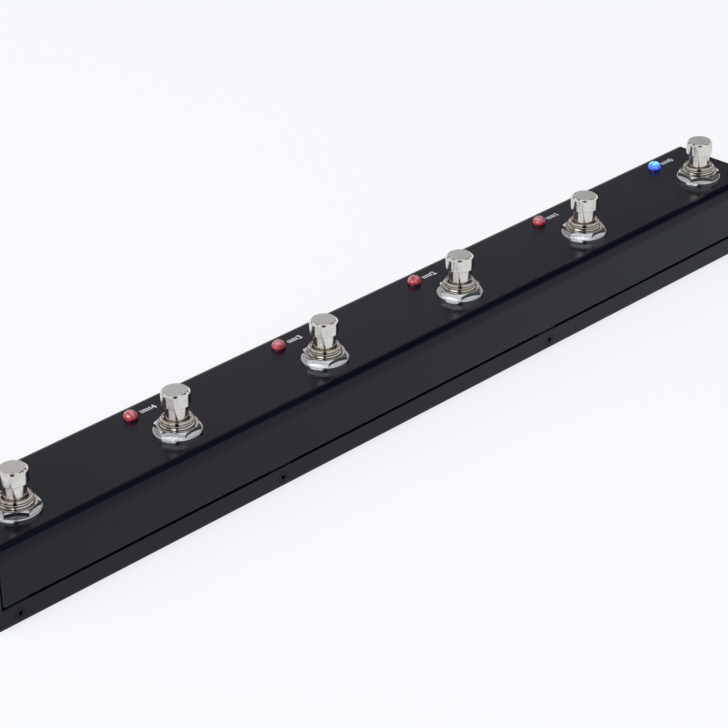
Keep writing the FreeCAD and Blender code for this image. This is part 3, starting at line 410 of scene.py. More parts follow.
def thread_rings(radius, crest, pitch, depth, count):
    """Outline points of a thread's rings, downwards from its first crest."""
    points = []
    for ring in range(count):
        top = crest - ring * pitch
        points += [(radius, top), (radius - depth, top - pitch / 2)]
    points.append((radius, crest - count * pitch))
    return points


# Pieces: a finished mesh becomes an object that rides on its body

def add_object(name, data):
    """Adds an object to the scene."""
    made = bpy.data.objects.new(name, data)
    bpy.context.scene.collection.objects.link(made)
    return made


def finish_piece(bm, name, finish, *stands_for, slot="", body="case"):
    """Makes a piece's object, smooth but for its flat faces; its slot is its finish's name."""
    mesh = mesh_of(bm, name)
    mesh.polygons.foreach_set("use_smooth", [True] * len(mesh.polygons))
    mesh.set_sharp_from_angle(angle=math.radians(50.0))
    mesh.materials.append(MATERIALS[finish])
    piece = add_object(name, mesh)
    flat_faces = piece.modifiers.new("Flat faces", "WEIGHTED_NORMAL")
    flat_faces.keep_sharp = True
    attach(piece, body)
    if stands_for:
        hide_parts(*stands_for)
    return piece


def place_piece(name, finish, sample, places, *stands_for, **options):
    """Makes a piece of copies of one solid."""
    whole = add_copies(bmesh.new(), sample, places)
    return finish_piece(whole, name, finish, *stands_for, **options)


def standing_at(place, height=0.0, turn=0.0):
    """Matrix of an upright solid at a place of the plan, turned in degrees."""
    spot = Matrix.Translation((place.x, place.y, height))
    return spot @ Matrix.Rotation(math.radians(turn), 4, "Z")


def socket_places():
    """Matrix of each jack: its +Z points out of the panel that it is fixed to."""
    places = []
    outwards = Matrix.Rotation(-math.pi / 2, 4, "X")
    height = sum(corner.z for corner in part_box("jack_send_1")) / 2
    for loop in range(1, LOOP_COUNT + 1):
        for word in ("send", "return"):
            low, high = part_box(f"jack_{word}_{loop}")
            spot = ((low.x + high.x) / 2, COVER_HIGH.y, height)
            places.append(Matrix.Translation(spot) @ outwards)
    for node, side in (("jack_input", 1), ("jack_output", -1)):
        low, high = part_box(node)
        spot = (side * TRAY_HIGH.x, (low.y + high.y) / 2, (low.z + high.z) / 2)
        turn = Matrix.Rotation(side * math.pi / 2, 4, "Y")
        places.append(Matrix.Translation(spot) @ turn)
    return places


# Node groups and materials

MATERIALS = {}


def node(tree, kind, inputs=None, **settings):
    """Adds a shader node; an input is a value, a colour or the output that feeds it."""
    made = tree.nodes.new("ShaderNode" + kind)
    for name, value in settings.items():
        setattr(made, name, value)
    for name, value in (inputs or {}).items():
        socket = made.inputs[name]
        if isinstance(value, bpy.types.NodeSocket):
            tree.links.new(value, socket)
        elif socket.type == "RGBA":
            socket.default_value = (*value, 1.0)
        else:
            socket.default_value = value
    return made


def feed(tree, made, **sockets):
    """Links outputs to a node; its socket names are given with underscores for spaces."""
    for label, output in sockets.items():
        tree.links.new(output, made.inputs[label.replace("_", " ")])


def value_range(tree, value, low, high, to_low=0.0, to_high=1.0, smooth=False):
    """Output of a Map Range node."""
    made = node(tree, "MapRange", {"Value": value, "From Min": low, "From Max": high,
                                   "To Min": to_low, "To Max": to_high},
                interpolation_type="SMOOTHSTEP" if smooth else "LINEAR")
    return made.outputs["Result"]


def maths(tree, operation, *values):
    """Output of a Math node."""
    return node(tree, "Math", dict(enumerate(values)), operation=operation).outputs[0]


def mix_colour(tree, share, first, second):
    """Output of a colour mix; a colour is three numbers or an output."""
    made = node(tree, "Mix", {0: share, 6: first, 7: second}, data_type="RGBA")
    return made.outputs[2]


def object_place(tree):
    """The object's own coordinates."""
    return node(tree, "TexCoord").outputs["Object"]


def split(tree, vector):
    """The X, Y and Z of a vector."""
    return node(tree, "SeparateXYZ", {"Vector": vector}).outputs


def noise(tree, place, **inputs):
    """Output of a Noise Texture node."""
    return node(tree, "TexNoise", {"Vector": place, **inputs}).outputs["Fac"]


def bump(tree, height, depth, strength=1.0, normal=None):
    """Output of a Bump node."""
    made = node(tree, "Bump", {"Height": height, "Distance": depth, "Strength": strength})
    if normal:
        feed(tree, made, Normal=normal)
    return made.outputs["Normal"]


def new_group(name, inputs, **outputs):
    """A node group; gives its tree, the outputs of its input node, and its output node."""
    tree = bpy.data.node_groups.new(name, "ShaderNodeTree")
    for label, value in inputs.items():
        socket = tree.interface.new_socket(label, in_out="INPUT",
                                           socket_type="NodeSocketFloat")
        socket.default_value = value
    for label, kind in outputs.items():
        tree.interface.new_socket(label, in_out="OUTPUT", socket_type="NodeSocket" + kind)
    return tree, tree.nodes.new("NodeGroupInput").outputs, tree.nodes.new("NodeGroupOutput")


def use_group(tree, name, **inputs):
    """Outputs of a node group in a material."""
    return node(tree, "Group", inputs, node_tree=bpy.data.node_groups[name]).outputs


def make_edge_group():
    """Rounded edges: a softened normal, and a mask of the strip along the edges, which the
    finishes pale as rubbed wear, and the coat also as a painted highlight.
    """
    tree, given, end = new_group("Rounded edges", {"Radius": 0.25 * MM, "Breakup": 400.0},
                                 Normal="Vector", Wear="Float")
    soft = node(tree, "Bevel", {"Radius": given["Radius"]}, samples=6).outputs["Normal"]
    plain = node(tree, "NewGeometry").outputs["Normal"]
    agree = node(tree, "VectorMath", {0: soft, 1: plain}, operation="DOT_PRODUCT")
    strip = value_range(tree, agree.outputs["Value"], 0.995, 0.86)
    specks = noise(tree, object_place(tree), Scale=given["Breakup"], Detail=4.0)
    broken = value_range(tree, specks, 0.38, 0.62, 0.25, 1.0, smooth=True)
    feed(tree, end, Normal=soft, Wear=maths(tree, "MULTIPLY", strip, broken))


def make_grain_group():
    """Fine grain: small ripples as a height, and a slow unevenness as a mask."""
    tree, given, end = new_group("Fine grain", {"Size": 1.0 * MM, "Patch": 30.0 * MM},
                                 Height="Float", Unevenness="Float")
    place = object_place(tree)
    fine = maths(tree, "DIVIDE", 1.0, given["Size"])
    wide = maths(tree, "DIVIDE", 1.0, given["Patch"])
    patch = noise(tree, place, Scale=wide, Detail=5.0, Roughness=0.65)
    feed(tree, end, Height=noise(tree, place, Scale=fine, Detail=3.0, Roughness=0.6),
         Unevenness=value_range(tree, patch, 0.3, 0.7, smooth=True))


def make_scratch_group():
    """Hairline scratches: thin, long marks in two directions, as a mask."""
    tree, given, end = new_group("Hairlines", {"Spacing": 2.0 * MM}, Mask="Float")
    place = object_place(tree)
    scale = maths(tree, "DIVIDE", 1.0, given["Spacing"])
    marks = []
    for turn, stretch in ((0.6, 0.06), (-1.1, 0.09)):
        turned = node(tree, "Mapping", {"Vector": place, "Rotation": (0.35, 0.2, turn),
                                        "Scale": (stretch, 1.0, 1.0)}).outputs["Vector"]
        lines = noise(tree, turned, Scale=scale, Detail=2.0, Distortion=0.4)
        thin = maths(tree, "ABSOLUTE", maths(tree, "SUBTRACT", lines, 0.5))
        marks.append(value_range(tree, thin, 0.0, 0.012, 1.0, 0.0))
    gate = noise(tree, place, Scale=maths(tree, "MULTIPLY", scale, 0.4))
    sparse = value_range(tree, gate, 0.5, 0.62)
    feed(tree, end, Mask=maths(tree, "MULTIPLY", maths(tree, "MAXIMUM", *marks), sparse))


def make_turning_group():
    """Turning marks: rings about the nearest switch's middle, and where faces look up."""
    tree, given, end = new_group("Turning marks", {"Pitch": 0.12 * MM},
                                 Height="Float", Upward="Float")
    first = SWITCH_PLACES[0]
    centred = node(tree, "Mapping", {"Vector": object_place(tree),
                                     "Location": (-first.x, -first.y, 0.0)})
    apart = split(tree, centred.outputs["Vector"])
    beside = maths(tree, "WRAP", apart["X"], SWITCH_PITCH / 2, -SWITCH_PITCH / 2)
    flat = node(tree, "CombineXYZ", {"X": beside, "Y": apart["Y"]}).outputs["Vector"]
    reach = node(tree, "VectorMath", {0: flat}, operation="LENGTH").outputs["Value"]
    along = maths(tree, "ADD", reach, apart["Z"])
    rings = node(tree, "TexNoise", {"W": maths(tree, "DIVIDE", along, given["Pitch"]),
                                    "Scale": 1.0, "Detail": 3.0}, noise_dimensions="1D")
    up = split(tree, node(tree, "NewGeometry").outputs["Normal"])["Z"]
    feed(tree, end, Height=rings.outputs["Fac"],
         Upward=value_range(tree, up, 0.80, 0.97, smooth=True))


def new_material(name, **sockets):
    """Adds a material to MATERIALS; gives its tree and its shader, with these inputs set."""
    material = MATERIALS[name] = bpy.data.materials.new(name)
    material.use_nodes = True
    shader = material.node_tree.nodes["Principled BSDF"]
    for label, value in sockets.items():
        shader.inputs[label.replace("_", " ")].default_value = value
    return material.node_tree, shader


def lighter(tint, amount):
    """A colour scaled up or down, held below white."""
    return tuple(min(channel * amount, 0.95) for channel in tint)


def painted_steel(name, coat, thin, roughness, peel):
    """Satin powder coat: faint orange peel, handling marks, and a paler strip along the edges
    that is partly thin, rubbed coat and partly a painted highlight.
    """
    tree, shader = new_material(name, IOR=1.32)
    edge = use_group(tree, "Rounded edges", Radius=0.22 * MM, Breakup=500.0)
    grain = use_group(tree, "Fine grain", Size=peel, Patch=45.0 * MM)
    marks = use_group(tree, "Hairlines", Spacing=7.0 * MM)
    cloudy = mix_colour(tree, grain["Unevenness"], coat, lighter(coat, 1.35))
    # Painted highlight and wear: the strip along the edges is paled towards the edge colour.
    worn = maths(tree, "MULTIPLY", edge["Wear"], 0.55)
    dull = value_range(tree, grain["Unevenness"], 0.0, 1.0, roughness - 0.02,
                       roughness + 0.03)
    feed(tree, shader, Base_Color=mix_colour(tree, worn, cloudy, thin),
         Roughness=maths(tree, "MULTIPLY_ADD", marks["Mask"], 0.02, dull),
         Normal=bump(tree, grain["Height"], 0.02 * MM, 0.10, edge["Normal"]))


def plated_metal(name, tint, roughness, spread, turned=0.0, top_highlight_gain=1.0, waves=0.01,
                 edge_radius=0.12, groove_shade=False):
    """Bright plating: hairlines, cloudy polish, slight waves, turned rings that can pale upward
    faces as a painted highlight, and painted shade at the thread roots.
    """
    tree, shader = new_material(name, Metallic=1.0)
    grain = use_group(tree, "Fine grain", Size=0.9 * MM, Patch=4.0 * MM)
    marks = use_group(tree, "Hairlines", Spacing=1.6 * MM)
    edge = use_group(tree, "Rounded edges", Radius=edge_radius * MM, Breakup=1500.0)
    cloudy = mix_colour(tree, grain["Unevenness"], tint, lighter(tint, 0.86))
    base = mix_colour(tree, marks["Mask"], cloudy, lighter(tint, 0.75))
    dull = value_range(tree, grain["Unevenness"], 0.0, 1.0, roughness, roughness + spread)
    wavy = bump(tree, grain["Height"], waves * MM, 1.0, edge["Normal"])
    if turned:
        rings = use_group(tree, "Turning marks", Pitch=0.1 * MM)
        dull = maths(tree, "ADD", dull, maths(tree, "MULTIPLY", rings["Upward"], turned))
        wavy = bump(tree, rings["Height"], 0.01 * MM, 0.25, wavy)
        # Painted highlight: upward faces, broken by coarse turned rings, are paled towards the
        # top highlight gain.
        coarse = use_group(tree, "Turning marks", Pitch=0.5 * MM)
        shade = maths(tree, "MULTIPLY", coarse["Upward"],
                      value_range(tree, coarse["Height"], 0.35, 0.65, 0.6, 1.0))
        base = mix_colour(tree, shade, base, lighter(tint, top_highlight_gain))
    # Painted shade: the bushing's thread roots are darkened by height, where shade falls in the
    # thread.
    if groove_shade:
        from_crest = maths(tree, "SUBTRACT", split(tree, object_place(tree))["Z"],
                           BUSHING_TOP - THREAD_LAND - THREAD_PITCH)
        depth = maths(tree, "PINGPONG", from_crest, THREAD_PITCH / 2)
        deep = value_range(tree, depth, 0.20 * MM, 0.42 * MM, 0.0, 0.85, smooth=True)
        base = mix_colour(tree, deep, base, lighter(tint, 0.14))
    feed(tree, shader, Base_Color=base, Roughness=dull, Normal=wavy)


def moulded_plastic(name, tint, roughness):
    """Moulded surface: fine grain, cloudy colour, paler edges."""
    tree, shader = new_material(name)
    grain = use_group(tree, "Fine grain", Size=0.3 * MM, Patch=9.0 * MM)
    edge = use_group(tree, "Rounded edges", Radius=0.15 * MM, Breakup=900.0)
    cloudy = mix_colour(tree, grain["Unevenness"], tint, lighter(tint, 0.8))
    worn = maths(tree, "MULTIPLY", edge["Wear"], 0.4)
    feed(tree, shader, Base_Color=mix_colour(tree, worn, cloudy, lighter(tint, 1.5)),
         Roughness=value_range(tree, grain["Height"], 0.3, 0.7, roughness - 0.05,
                               roughness + 0.06),
         Normal=bump(tree, grain["Height"], 0.03 * MM, 0.3, edge["Normal"]))


def lens_plastic(name, middle, dome, glow=0.0):
    """Tinted clear lens with small facets inside: painted shade darkens it towards its foot,
    and a painted highlight pales it over the dome.
    """
    tree, shader = new_material(name, IOR=1.49, Transmission_Weight=0.30,
                                Emission_Strength=glow)
    place = object_place(tree)
    height = split(tree, place)["Z"]
    # Painted shade: the lens is darker towards its foot at the panel.
    foot = value_range(tree, height, PANEL_TOP, PANEL_TOP + 1.1 * MM, 1.0, 0.0, smooth=True)
    # Painted highlight: the lens pales towards the top of its dome.
    top = value_range(tree, height, PANEL_TOP + 0.9 * MM, LENS_HIGH.z - 0.1 * MM)
    cells = node(tree, "TexVoronoi", {"Vector": place, "Scale": 900.0},
                 feature="SMOOTH_F1").outputs["Distance"]
    facets = value_range(tree, cells, 0.3, 0.6, 0.0, 0.8, smooth=True)
    upper = mix_colour(tree, facets, mix_colour(tree, top, middle, dome),
                       lighter(middle, 0.55))
    body = mix_colour(tree, foot, upper, lighter(middle, 0.12))
    grain = use_group(tree, "Fine grain", Size=0.8 * MM, Patch=3.0 * MM)
    feed(tree, shader, Base_Color=body,
         Roughness=value_range(tree, grain["Height"], 0.3, 0.7, 0.08, 0.2),
         Normal=bump(tree, cells, 0.12 * MM, 0.35))
    if glow:
        seen = node(tree, "LightPath").outputs["Is Camera Ray"]
        dimmed = mix_colour(tree, 0.5, body, (0.0, 0.0, 0.0))
        feed(tree, shader, Emission_Color=mix_colour(tree, seen, dimmed, body))


def dull_film(name, tint, size, patch, darker, dull, relief, strength):
    """Ink or insulation: an uneven colour, and a sheen that follows an output of the grain."""
    tree, shader = new_material(name)
    grain = use_group(tree, "Fine grain", Size=size * MM, Patch=patch * MM)
    source, *limits = dull
    feed(tree, shader,
         Base_Color=mix_colour(tree, grain["Unevenness"], tint, lighter(tint, darker)),
         Roughness=value_range(tree, grain[source], *limits),
         Normal=bump(tree, grain["Height"], relief * MM, strength))


def resistor_paint(name, tint, band):
    """Lacquered resistor body with plain bands across it."""
    tree, shader = new_material(name)
    first_light = SWITCH_PLACES[0].x + LIGHT_SHIFT
    centred = node(tree, "Mapping", {"Vector": object_place(tree),
                                     "Location": (-first_light, 0.0, 0.0)})
    along = maths(tree, "WRAP", split(tree, centred.outputs["Vector"])["X"],
                  SWITCH_PITCH, 0.0)
    bands = maths(tree, "PINGPONG", along, 0.6 * MM)
    stripe = value_range(tree, bands, 0.32 * MM, 0.36 * MM)
    grain = use_group(tree, "Fine grain", Size=0.3 * MM, Patch=2.0 * MM)
    feed(tree, shader, Base_Color=mix_colour(tree, stripe, tint, band),
         Roughness=value_range(tree, grain["Height"], 0.3, 0.7, 0.3, 0.45),
         Normal=bump(tree, grain["Height"], 0.01 * MM, 0.3))


def make_materials(scene):
    """All the finishes, by the names of the record's material slots and a few of their own."""
    make_edge_group()
    make_grain_group()
    make_scratch_group()
    make_turning_group()
    paint = scene.pedal_paint
    plating = scene.pedal_switches
    lights = scene.pedal_lights
    painted_steel("black_paint", paint.coat, paint.thin_coat_and_edge_highlight, paint.coat_roughness,
                  paint.peel)
    plated_metal("black_steel", paint.screw_steel, 0.32, 0.08)
    plated_metal("nickel", plating.nickel, 0.15, 0.08)
    plated_metal("pressed_nickel", plating.nickel, 0.07, 0.06, turned=0.05, waves=0.03,
                 edge_radius=0.05)
    plated_metal("warm_nickel", plating.warm_nickel, 0.08, 0.05, waves=0.02,
                 edge_radius=0.03, groove_shade=True)
    plated_metal("turned_nickel", plating.cap_nickel, 0.09, 0.05, turned=0.30,
                 top_highlight_gain=1.35, waves=0.006, edge_radius=0.06)
    plated_metal("zinc", (0.52, 0.54, 0.56), 0.30, 0.15)
    plated_metal("spring_steel", (0.55, 0.54, 0.52), 0.22, 0.12)
    plated_metal("tinned_brass", (0.62, 0.59, 0.52), 0.28, 0.14)
    moulded_plastic("rubber", (0.018, 0.018, 0.019), 0.75)
    moulded_plastic("housing_blue", (0.02, 0.07, 0.26), 0.38)
    moulded_plastic("white_plastic", (0.72, 0.71, 0.68), 0.40)
    moulded_plastic("black_plastic", (0.017, 0.017, 0.018), 0.42)
    lens_plastic("red_lens", lights.red, lights.red_top_highlight)
    lens_plastic("blue_lens", lights.blue, lights.blue_top_highlight, lights.glow)
    resistor_paint("resistor", (0.50, 0.36, 0.20), (0.22, 0.05, 0.03))
    dull_film("wire_green", (0.03, 0.20, 0.08), size=0.5, patch=12.0, darker=0.7,
              dull=("Unevenness", 0.0, 1.0, 0.32, 0.48), relief=0.02, strength=0.3)
    dull_film("ink", paint.ink, size=0.25, patch=1.5, darker=0.82,
              dull=("Height", 0.3, 0.7, 0.42, 0.6), relief=0.01, strength=0.4)


def paint_nodes(*slots):
    """Gives each carried CAD node of these material slots its finish."""
    for cad_node in NODES.values():
        for place in cad_node.material_slots:
            slot = place.material.name.split(".")[0] if place.material else ""
            if slot in slots:
                place.material = MATERIALS[slot]


# Operators: one for each piece or group of like pieces, and one for the stage

class PEDAL_OT_stage(bpy.types.Operator):
    """Builds the white sweep, the studio light and the camera"""

    bl_idname = "pedal.stage"
    bl_label = "Stage"

    def execute(self, context):
        stage = context.scene.pedal_stage
        self.add_floor(stage)
        self.add_room(context.scene, stage)
        self.add_window(stage)
        self.add_camera(context.scene, stage)
        context.scene.view_settings.view_transform = "Standard"
        return {"FINISHED"}

    def add_floor(self, stage):
        """A round floor that keeps the shadow and looks white to the eye and in metal."""
        bm = bmesh.new()
        bmesh.ops.create_circle(bm, cap_ends=True, cap_tris=True, segments=96,
                                radius=FLOOR_RADIUS)
        mesh = mesh_of(bm, "floor")
        tree, shader = new_material("sweep", Roughness=0.9, IOR=1.2)
        grain = use_group(tree, "Fine grain", Size=2.0 * MM, Patch=400.0 * MM)
        feed(tree, shader, Base_Color=mix_colour(tree, grain["Unevenness"], *PAPER))
        ray = node(tree, "LightPath").outputs
        tone = mix_colour(tree, ray["Is Glossy Ray"], stage.sweep, stage.shine)
        white = node(tree, "Emission", {"Color": tone, "Strength": 1.0})
        seen = maths(tree, "MAXIMUM", ray["Is Camera Ray"],
                     maths(tree, "MAXIMUM", ray["Is Glossy Ray"], ray["Is Transmission Ray"]))
        both = node(tree, "MixShader", {"Fac": maths(tree, "MULTIPLY", seen, FLOOR_GLOW),
                                        1: shader.outputs["BSDF"],
                                        2: white.outputs["Emission"]})
        feed(tree, tree.nodes["Material Output"], Surface=both.outputs["Shader"])
        mesh.materials.append(MATERIALS["sweep"])
        add_object("floor", mesh)

    def add_room(self, scene, stage):
        """The room: white sweep, far wall, soft boxes overhead and beside the camera."""
        world = bpy.data.worlds.new("studio")
        world.use_nodes = True
        tree = world.node_tree
        ray = node(tree, "TexCoord").outputs["Generated"]
        rise = split(tree, ray)["Z"]

        def along(azimuth, elevation=0.0):
            """Share of the ray that points in a direction, given in degrees."""
            turn, tilt = math.radians(azimuth), math.radians(elevation)
            heading = (math.cos(tilt) * math.cos(turn), math.cos(tilt) * math.sin(turn),
                       math.sin(tilt))
            shown = node(tree, "VectorMath", {0: ray, 1: heading}, operation="DOT_PRODUCT")
            return shown.outputs["Value"]

        def between(value, low, high, edge):
            """Mask of a value that lies between two others, with soft edges."""
            above = value_range(tree, value, low - edge, low + edge, smooth=True)
            below = value_range(tree, value, high - edge, high + edge, 1.0, 0.0, smooth=True)
            return maths(tree, "MULTIPLY", above, below)

        def box(left, right, bottom, top):
            """Mask of a soft box beside the camera; its sides in degrees, left is negative."""
            sides = between(turn, math.radians(left), math.radians(right), math.radians(5.0))
            return maths(tree, "MULTIPLY", sides, between(rise, bottom, top, 0.04))

        turn = maths(tree, "ARCTAN2", along(CAMERA_SIDE + 90.0), along(CAMERA_SIDE))
        wall = value_range(tree, along(*FAR_WALL), 0.86, 0.985, smooth=True)
        low = value_range(tree, rise, 0.22, 0.36, 1.0, 0.0, smooth=True)
        lamps = value_range(tree, rise, 0.86, 0.95, smooth=True)
        for sides in SOFT_BOXES:
            lamps = maths(tree, "MAXIMUM", lamps, box(*sides))
        walls = mix_colour(tree, wall, stage.room, stage.far_wall)
        around = mix_colour(tree, low, walls, stage.sweep)
        sky = mix_colour(tree, lamps, around, stage.soft_box)
        body, head = ONLOOKER
        onlooker = maths(tree, "MAXIMUM", box(*body), box(*head))
        feed(tree, tree.nodes["Background"],
             Color=mix_colour(tree, onlooker, sky, (0.01, 0.01, 0.01)))
        scene.world = world

    def add_window(self, stage):
        """The long soft lamp at the left; bright plating gets only a share of it."""
        plating = bpy.data.collections.new("plating")
        coated = bpy.data.collections.new("all but plating")
        for name in PLATED_PIECES:
            plating.objects.link(bpy.data.objects[name])
            coated.objects.link(bpy.data.objects[name])
        for link in coated.collection_objects:
            link.light_linking.link_state = "EXCLUDE"
        lamps = (("window", coated, stage.window), ("glint", plating, stage.glint))
        for name, receivers, strength in lamps:
            lamp = bpy.data.lights.new(name, "AREA")
            lamp.shape = "RECTANGLE"
            lamp.size, lamp.size_y = WINDOW_SIZE
            lamp.color = stage.shine
            lamp.energy = strength * math.pi * lamp.size * lamp.size_y
            holder = add_object(name, lamp)
            holder.location = WINDOW_PLACE
            aim = Vector(WINDOW_AIM) - holder.location
            holder.rotation_euler = aim.to_track_quat("-Z", "Y").to_euler()
            holder.visible_camera = False
            holder.light_linking.receiver_collection = receivers

    def add_camera(self, scene, stage):
        """The camera, looking down the row of switches from its left front."""
        lens = bpy.data.cameras.new("camera")
        lens.lens = stage.lens
        lens.sensor_width = 36.0
        lens.clip_start = 0.01
        lens.clip_end = 20.0
        camera = add_object("camera", lens)
        camera.location = CAMERA_PLACE
        camera.rotation_euler = [math.radians(turn) for turn in CAMERA_TURN]
        scene.camera = camera


class PEDAL_OT_case(bpy.types.Operator):
    """Gives the folded cover and the base tray their satin black coat"""

    bl_idname = "pedal.case"
    bl_label = "Case"

    def execute(self, context):
        paint_nodes("black_paint")
        return {"FINISHED"}


class PEDAL_OT_buttons(bpy.types.Operator):
    """Turns the six foot buttons: cap, stem, collar and tip in one piece"""

    bl_idname = "pedal.buttons"
    bl_label = "Foot buttons"

    def execute(self, context):
        sizes = context.scene.pedal_switches
        bottom = BUTTON_LOW.z
        top = BUTTON_HIGH.z
        cap_bottom = top - sizes.cap_height
        bevel_low = top - sizes.cap_chamfer
        face_radius = sizes.cap_radius - sizes.cap_chamfer
        collar_low = 21.8 * MM
        collar_high = 23.2 * MM
        collar_radius = 4.9 * MM
        tip_radius = 1.8 * MM
        outline = [
            (0.0, bottom),
            (tip_radius, bottom),
            (tip_radius, collar_low),
            (collar_radius, collar_low),
            (collar_radius, collar_high),
            (sizes.stem_radius, collar_high),
            (sizes.stem_radius, cap_bottom),
            (sizes.cap_radius, cap_bottom),
            (sizes.cap_radius, bevel_low),
            (face_radius, top),
            (0.0, top),
        ]
        for count, place in enumerate(SWITCH_PLACES, start=1):
            sample = turned_solid(outline)
            round_ring(sample, sizes.cap_radius, bevel_low, 0.06 * MM, 2)
            round_ring(sample, face_radius, top, 0.06 * MM, 2)
            round_ring(sample, sizes.cap_radius, cap_bottom, 0.18 * MM, 3)
            round_ring(sample, collar_radius, collar_high, 0.15 * MM, 2)
            round_ring(sample, tip_radius, bottom, 0.4 * MM, 3)
            place_piece(f"foot_button_{count}", "turned_nickel", sample,
                        [standing_at(place)], f"plunger_{count}", body=f"button_{count}")
        return {"FINISHED"}


class PEDAL_OT_bushings(bpy.types.Operator):
    """Makes the threaded bushings with the steel plates and straps of the switches"""

    bl_idname = "pedal.bushings"
    bl_label = "Bushings"

    def execute(self, context):
        sizes = context.scene.pedal_switches
        rim = BUSHING_TOP
        plate_low = HOUSING_HIGH.z
        plate_high = plate_low + 1.0 * MM
        mouth = 0.7 * MM
        rim_radius = 5.25 * MM
        taper = 0.9 * MM
        strap = 9.8 * MM
        strap_thick = 0.5 * MM
        wide = HOUSING_HIGH.x - HOUSING_LOW.x
        plate = rectangle(wide, HOUSING_HIGH.y - HOUSING_LOW.y)
        thread = thread_rings(sizes.thread_radius, rim - THREAD_LAND, THREAD_PITCH,
                              0.4 * MM, 3)
        rings = [
            (circle(sizes.bore_radius), plate_low),
            (plate, plate_low),
            (plate, plate_high),
            (circle(sizes.thread_radius), plate_high),
            *((circle(radius), height) for radius, height in reversed(thread)),
            (circle(sizes.thread_radius), rim - taper),
            (circle(rim_radius), rim),
            (circle(sizes.bore_radius + mouth), rim),
            (circle(sizes.bore_radius), rim - mouth),
        ]
        middle = (HOUSING_LOW + HOUSING_HIGH) / 2
        for count, place in enumerate(SWITCH_PLACES, start=1):
            sample = ring_solid(rings)
            round_sharp(sample, 0.07 * MM)
            whole = add_copies(bmesh.new(), sample, [standing_at(place)])
            for side in (-1, 1):
                near = side * wide / 2
                far = side * (wide / 2 + strap_thick)
                low = (place.x + min(near, far), middle.y - strap / 2, plate_high - strap)
                high = (place.x + max(near, far), middle.y + strap / 2, plate_high)
                add_copies(whole, block_solid(low, high, 0.1 * MM), [Matrix()])
            finish_piece(whole, f"threaded_bushing_{count}", "warm_nickel",
                         f"switch_bushing_{count}", slot="nickel")
        return {"FINISHED"}


class PEDAL_OT_nuts(bpy.types.Operator):
    """Makes the switches' nuts and flat washers, each nut turned its own way"""

    bl_idname = "pedal.nuts"
    bl_label = "Nuts and washers"

    def execute(self, context):
        sizes = context.scene.pedal_switches
        nut = nut_solid(sizes.nut_flats, NUT_HIGH.z - NUT_LOW.z, sizes.thread_radius)
        turned = [standing_at(place, NUT_LOW.z, turn)
                  for place, turn in zip(SWITCH_PLACES, NUT_TURNS)]
        place_piece("outer_nuts", "pressed_nickel", nut, turned, "switch_nuts", slot="nickel")
        washer = washer_solid(sizes.washer_radius, sizes.thread_radius + 0.2 * MM,
                              NUT_LOW.z - PANEL_TOP, 0.3 * MM)
        flat = [standing_at(place, PANEL_TOP) for place in SWITCH_PLACES]
        place_piece("flat_washers", "pressed_nickel", washer, flat, "switch_washers",
                    slot="nickel")
        return {"FINISHED"}


class PEDAL_OT_lights(bpy.types.Operator):
    """Makes the domed lenses: five red ones, and a lit blue one at the right"""

    bl_idname = "pedal.lights"
    bl_label = "Lights"

    def execute(self, context):
        sizes = context.scene.pedal_lights
        places = [standing_at(Vector((place.x + LIGHT_SHIFT, LIGHT_ROW)))
                  for place in SWITCH_PLACES]
        place_piece("red_lenses", "red_lens", self.lens(sizes), places[:-1], "loop_lights")
        place_piece("blue_lens", "blue_lens", self.lens(sizes), places[-1:], "bypass_light")
        paint_nodes("spring_steel")
        return {"FINISHED"}

    def lens(self, sizes):
        """One lens: flange, tube and dome."""
        bottom = LENS_LOW.z
        top = LENS_HIGH.z
        flange_top = bottom + 1.0 * MM
        outline = [
            (0.0, bottom),
            (sizes.flange_radius, bottom),
            (sizes.flange_radius, flange_top),
            (sizes.lens_radius, flange_top),
            (sizes.lens_radius, top),
            (0.0, top),
        ]
        solid = turned_solid(outline, steps=48)
        round_ring(solid, sizes.lens_radius, top, sizes.lens_radius - 0.06 * MM, 14)
        round_ring(solid, sizes.flange_radius, flange_top, 0.15 * MM, 2)
        return solid


class PEDAL_OT_numbers(bpy.types.Operator):
    """Prints a row of short ticks and a plain number beside each light"""

    bl_idname = "pedal.numbers"
    bl_label = "Numbers"

    def execute(self, context):
        paint = context.scene.pedal_paint
        row = LIGHT_ROW + 0.5 * MM
        first_tick = 5.2 * MM
        gap = 0.4 * MM
        middle = first_tick + paint.tick_count * paint.tick_pitch + gap
        half_wide = 0.25 * MM
        half_high = paint.digit_height * 0.36
        film = 0.012 * MM
        whole = bmesh.new()
        for count, place in enumerate(SWITCH_PLACES):
            light = place.x + LIGHT_SHIFT
            digit = self.digit_mesh(str(LOOP_COUNT - count), paint.digit_height)
            digit.transform(Matrix.Translation((light + middle, row, PANEL_TOP)))
            whole.from_mesh(digit)
            bpy.data.meshes.remove(digit)
            tick = block_solid((-half_wide, -half_high, -film), (half_wide, half_high, film),
                               0.004 * MM)
            starts = [light + first_tick + step * paint.tick_pitch
                      for step in range(paint.tick_count)]
            add_copies(whole, tick, [Matrix.Translation((x, row, PANEL_TOP)) for x in starts])
        bmesh.ops.remove_doubles(whole, verts=whole.verts, dist=0.0005 * MM)
        finish_piece(whole, "loop_numbers", "ink", slot="white_plastic")
        return {"FINISHED"}

    def digit_mesh(self, digit, height):
        """A digit as a thin mesh of this height, its middle at the origin."""
        words = bpy.data.curves.new("digit", "FONT")
        words.body = digit
        words.extrude = 0.004
        words.offset = 0.015
        words.resolution_u = 6
        holder = add_object("digit", words)
        bpy.context.view_layer.update()
        mesh = bpy.data.meshes.new_from_object(holder)
        bpy.data.objects.remove(holder)
        bpy.data.curves.remove(words)
        xs = [vert.co.x for vert in mesh.vertices]
        ys = [vert.co.y for vert in mesh.vertices]
        middle = Vector(((min(xs) + max(xs)) / 2, (min(ys) + max(ys)) / 2, 0.0))
        scale = height / (max(ys) - min(ys))
        mesh.transform(Matrix.Scale(scale, 4) @ Matrix.Translation(-middle))
        return mesh


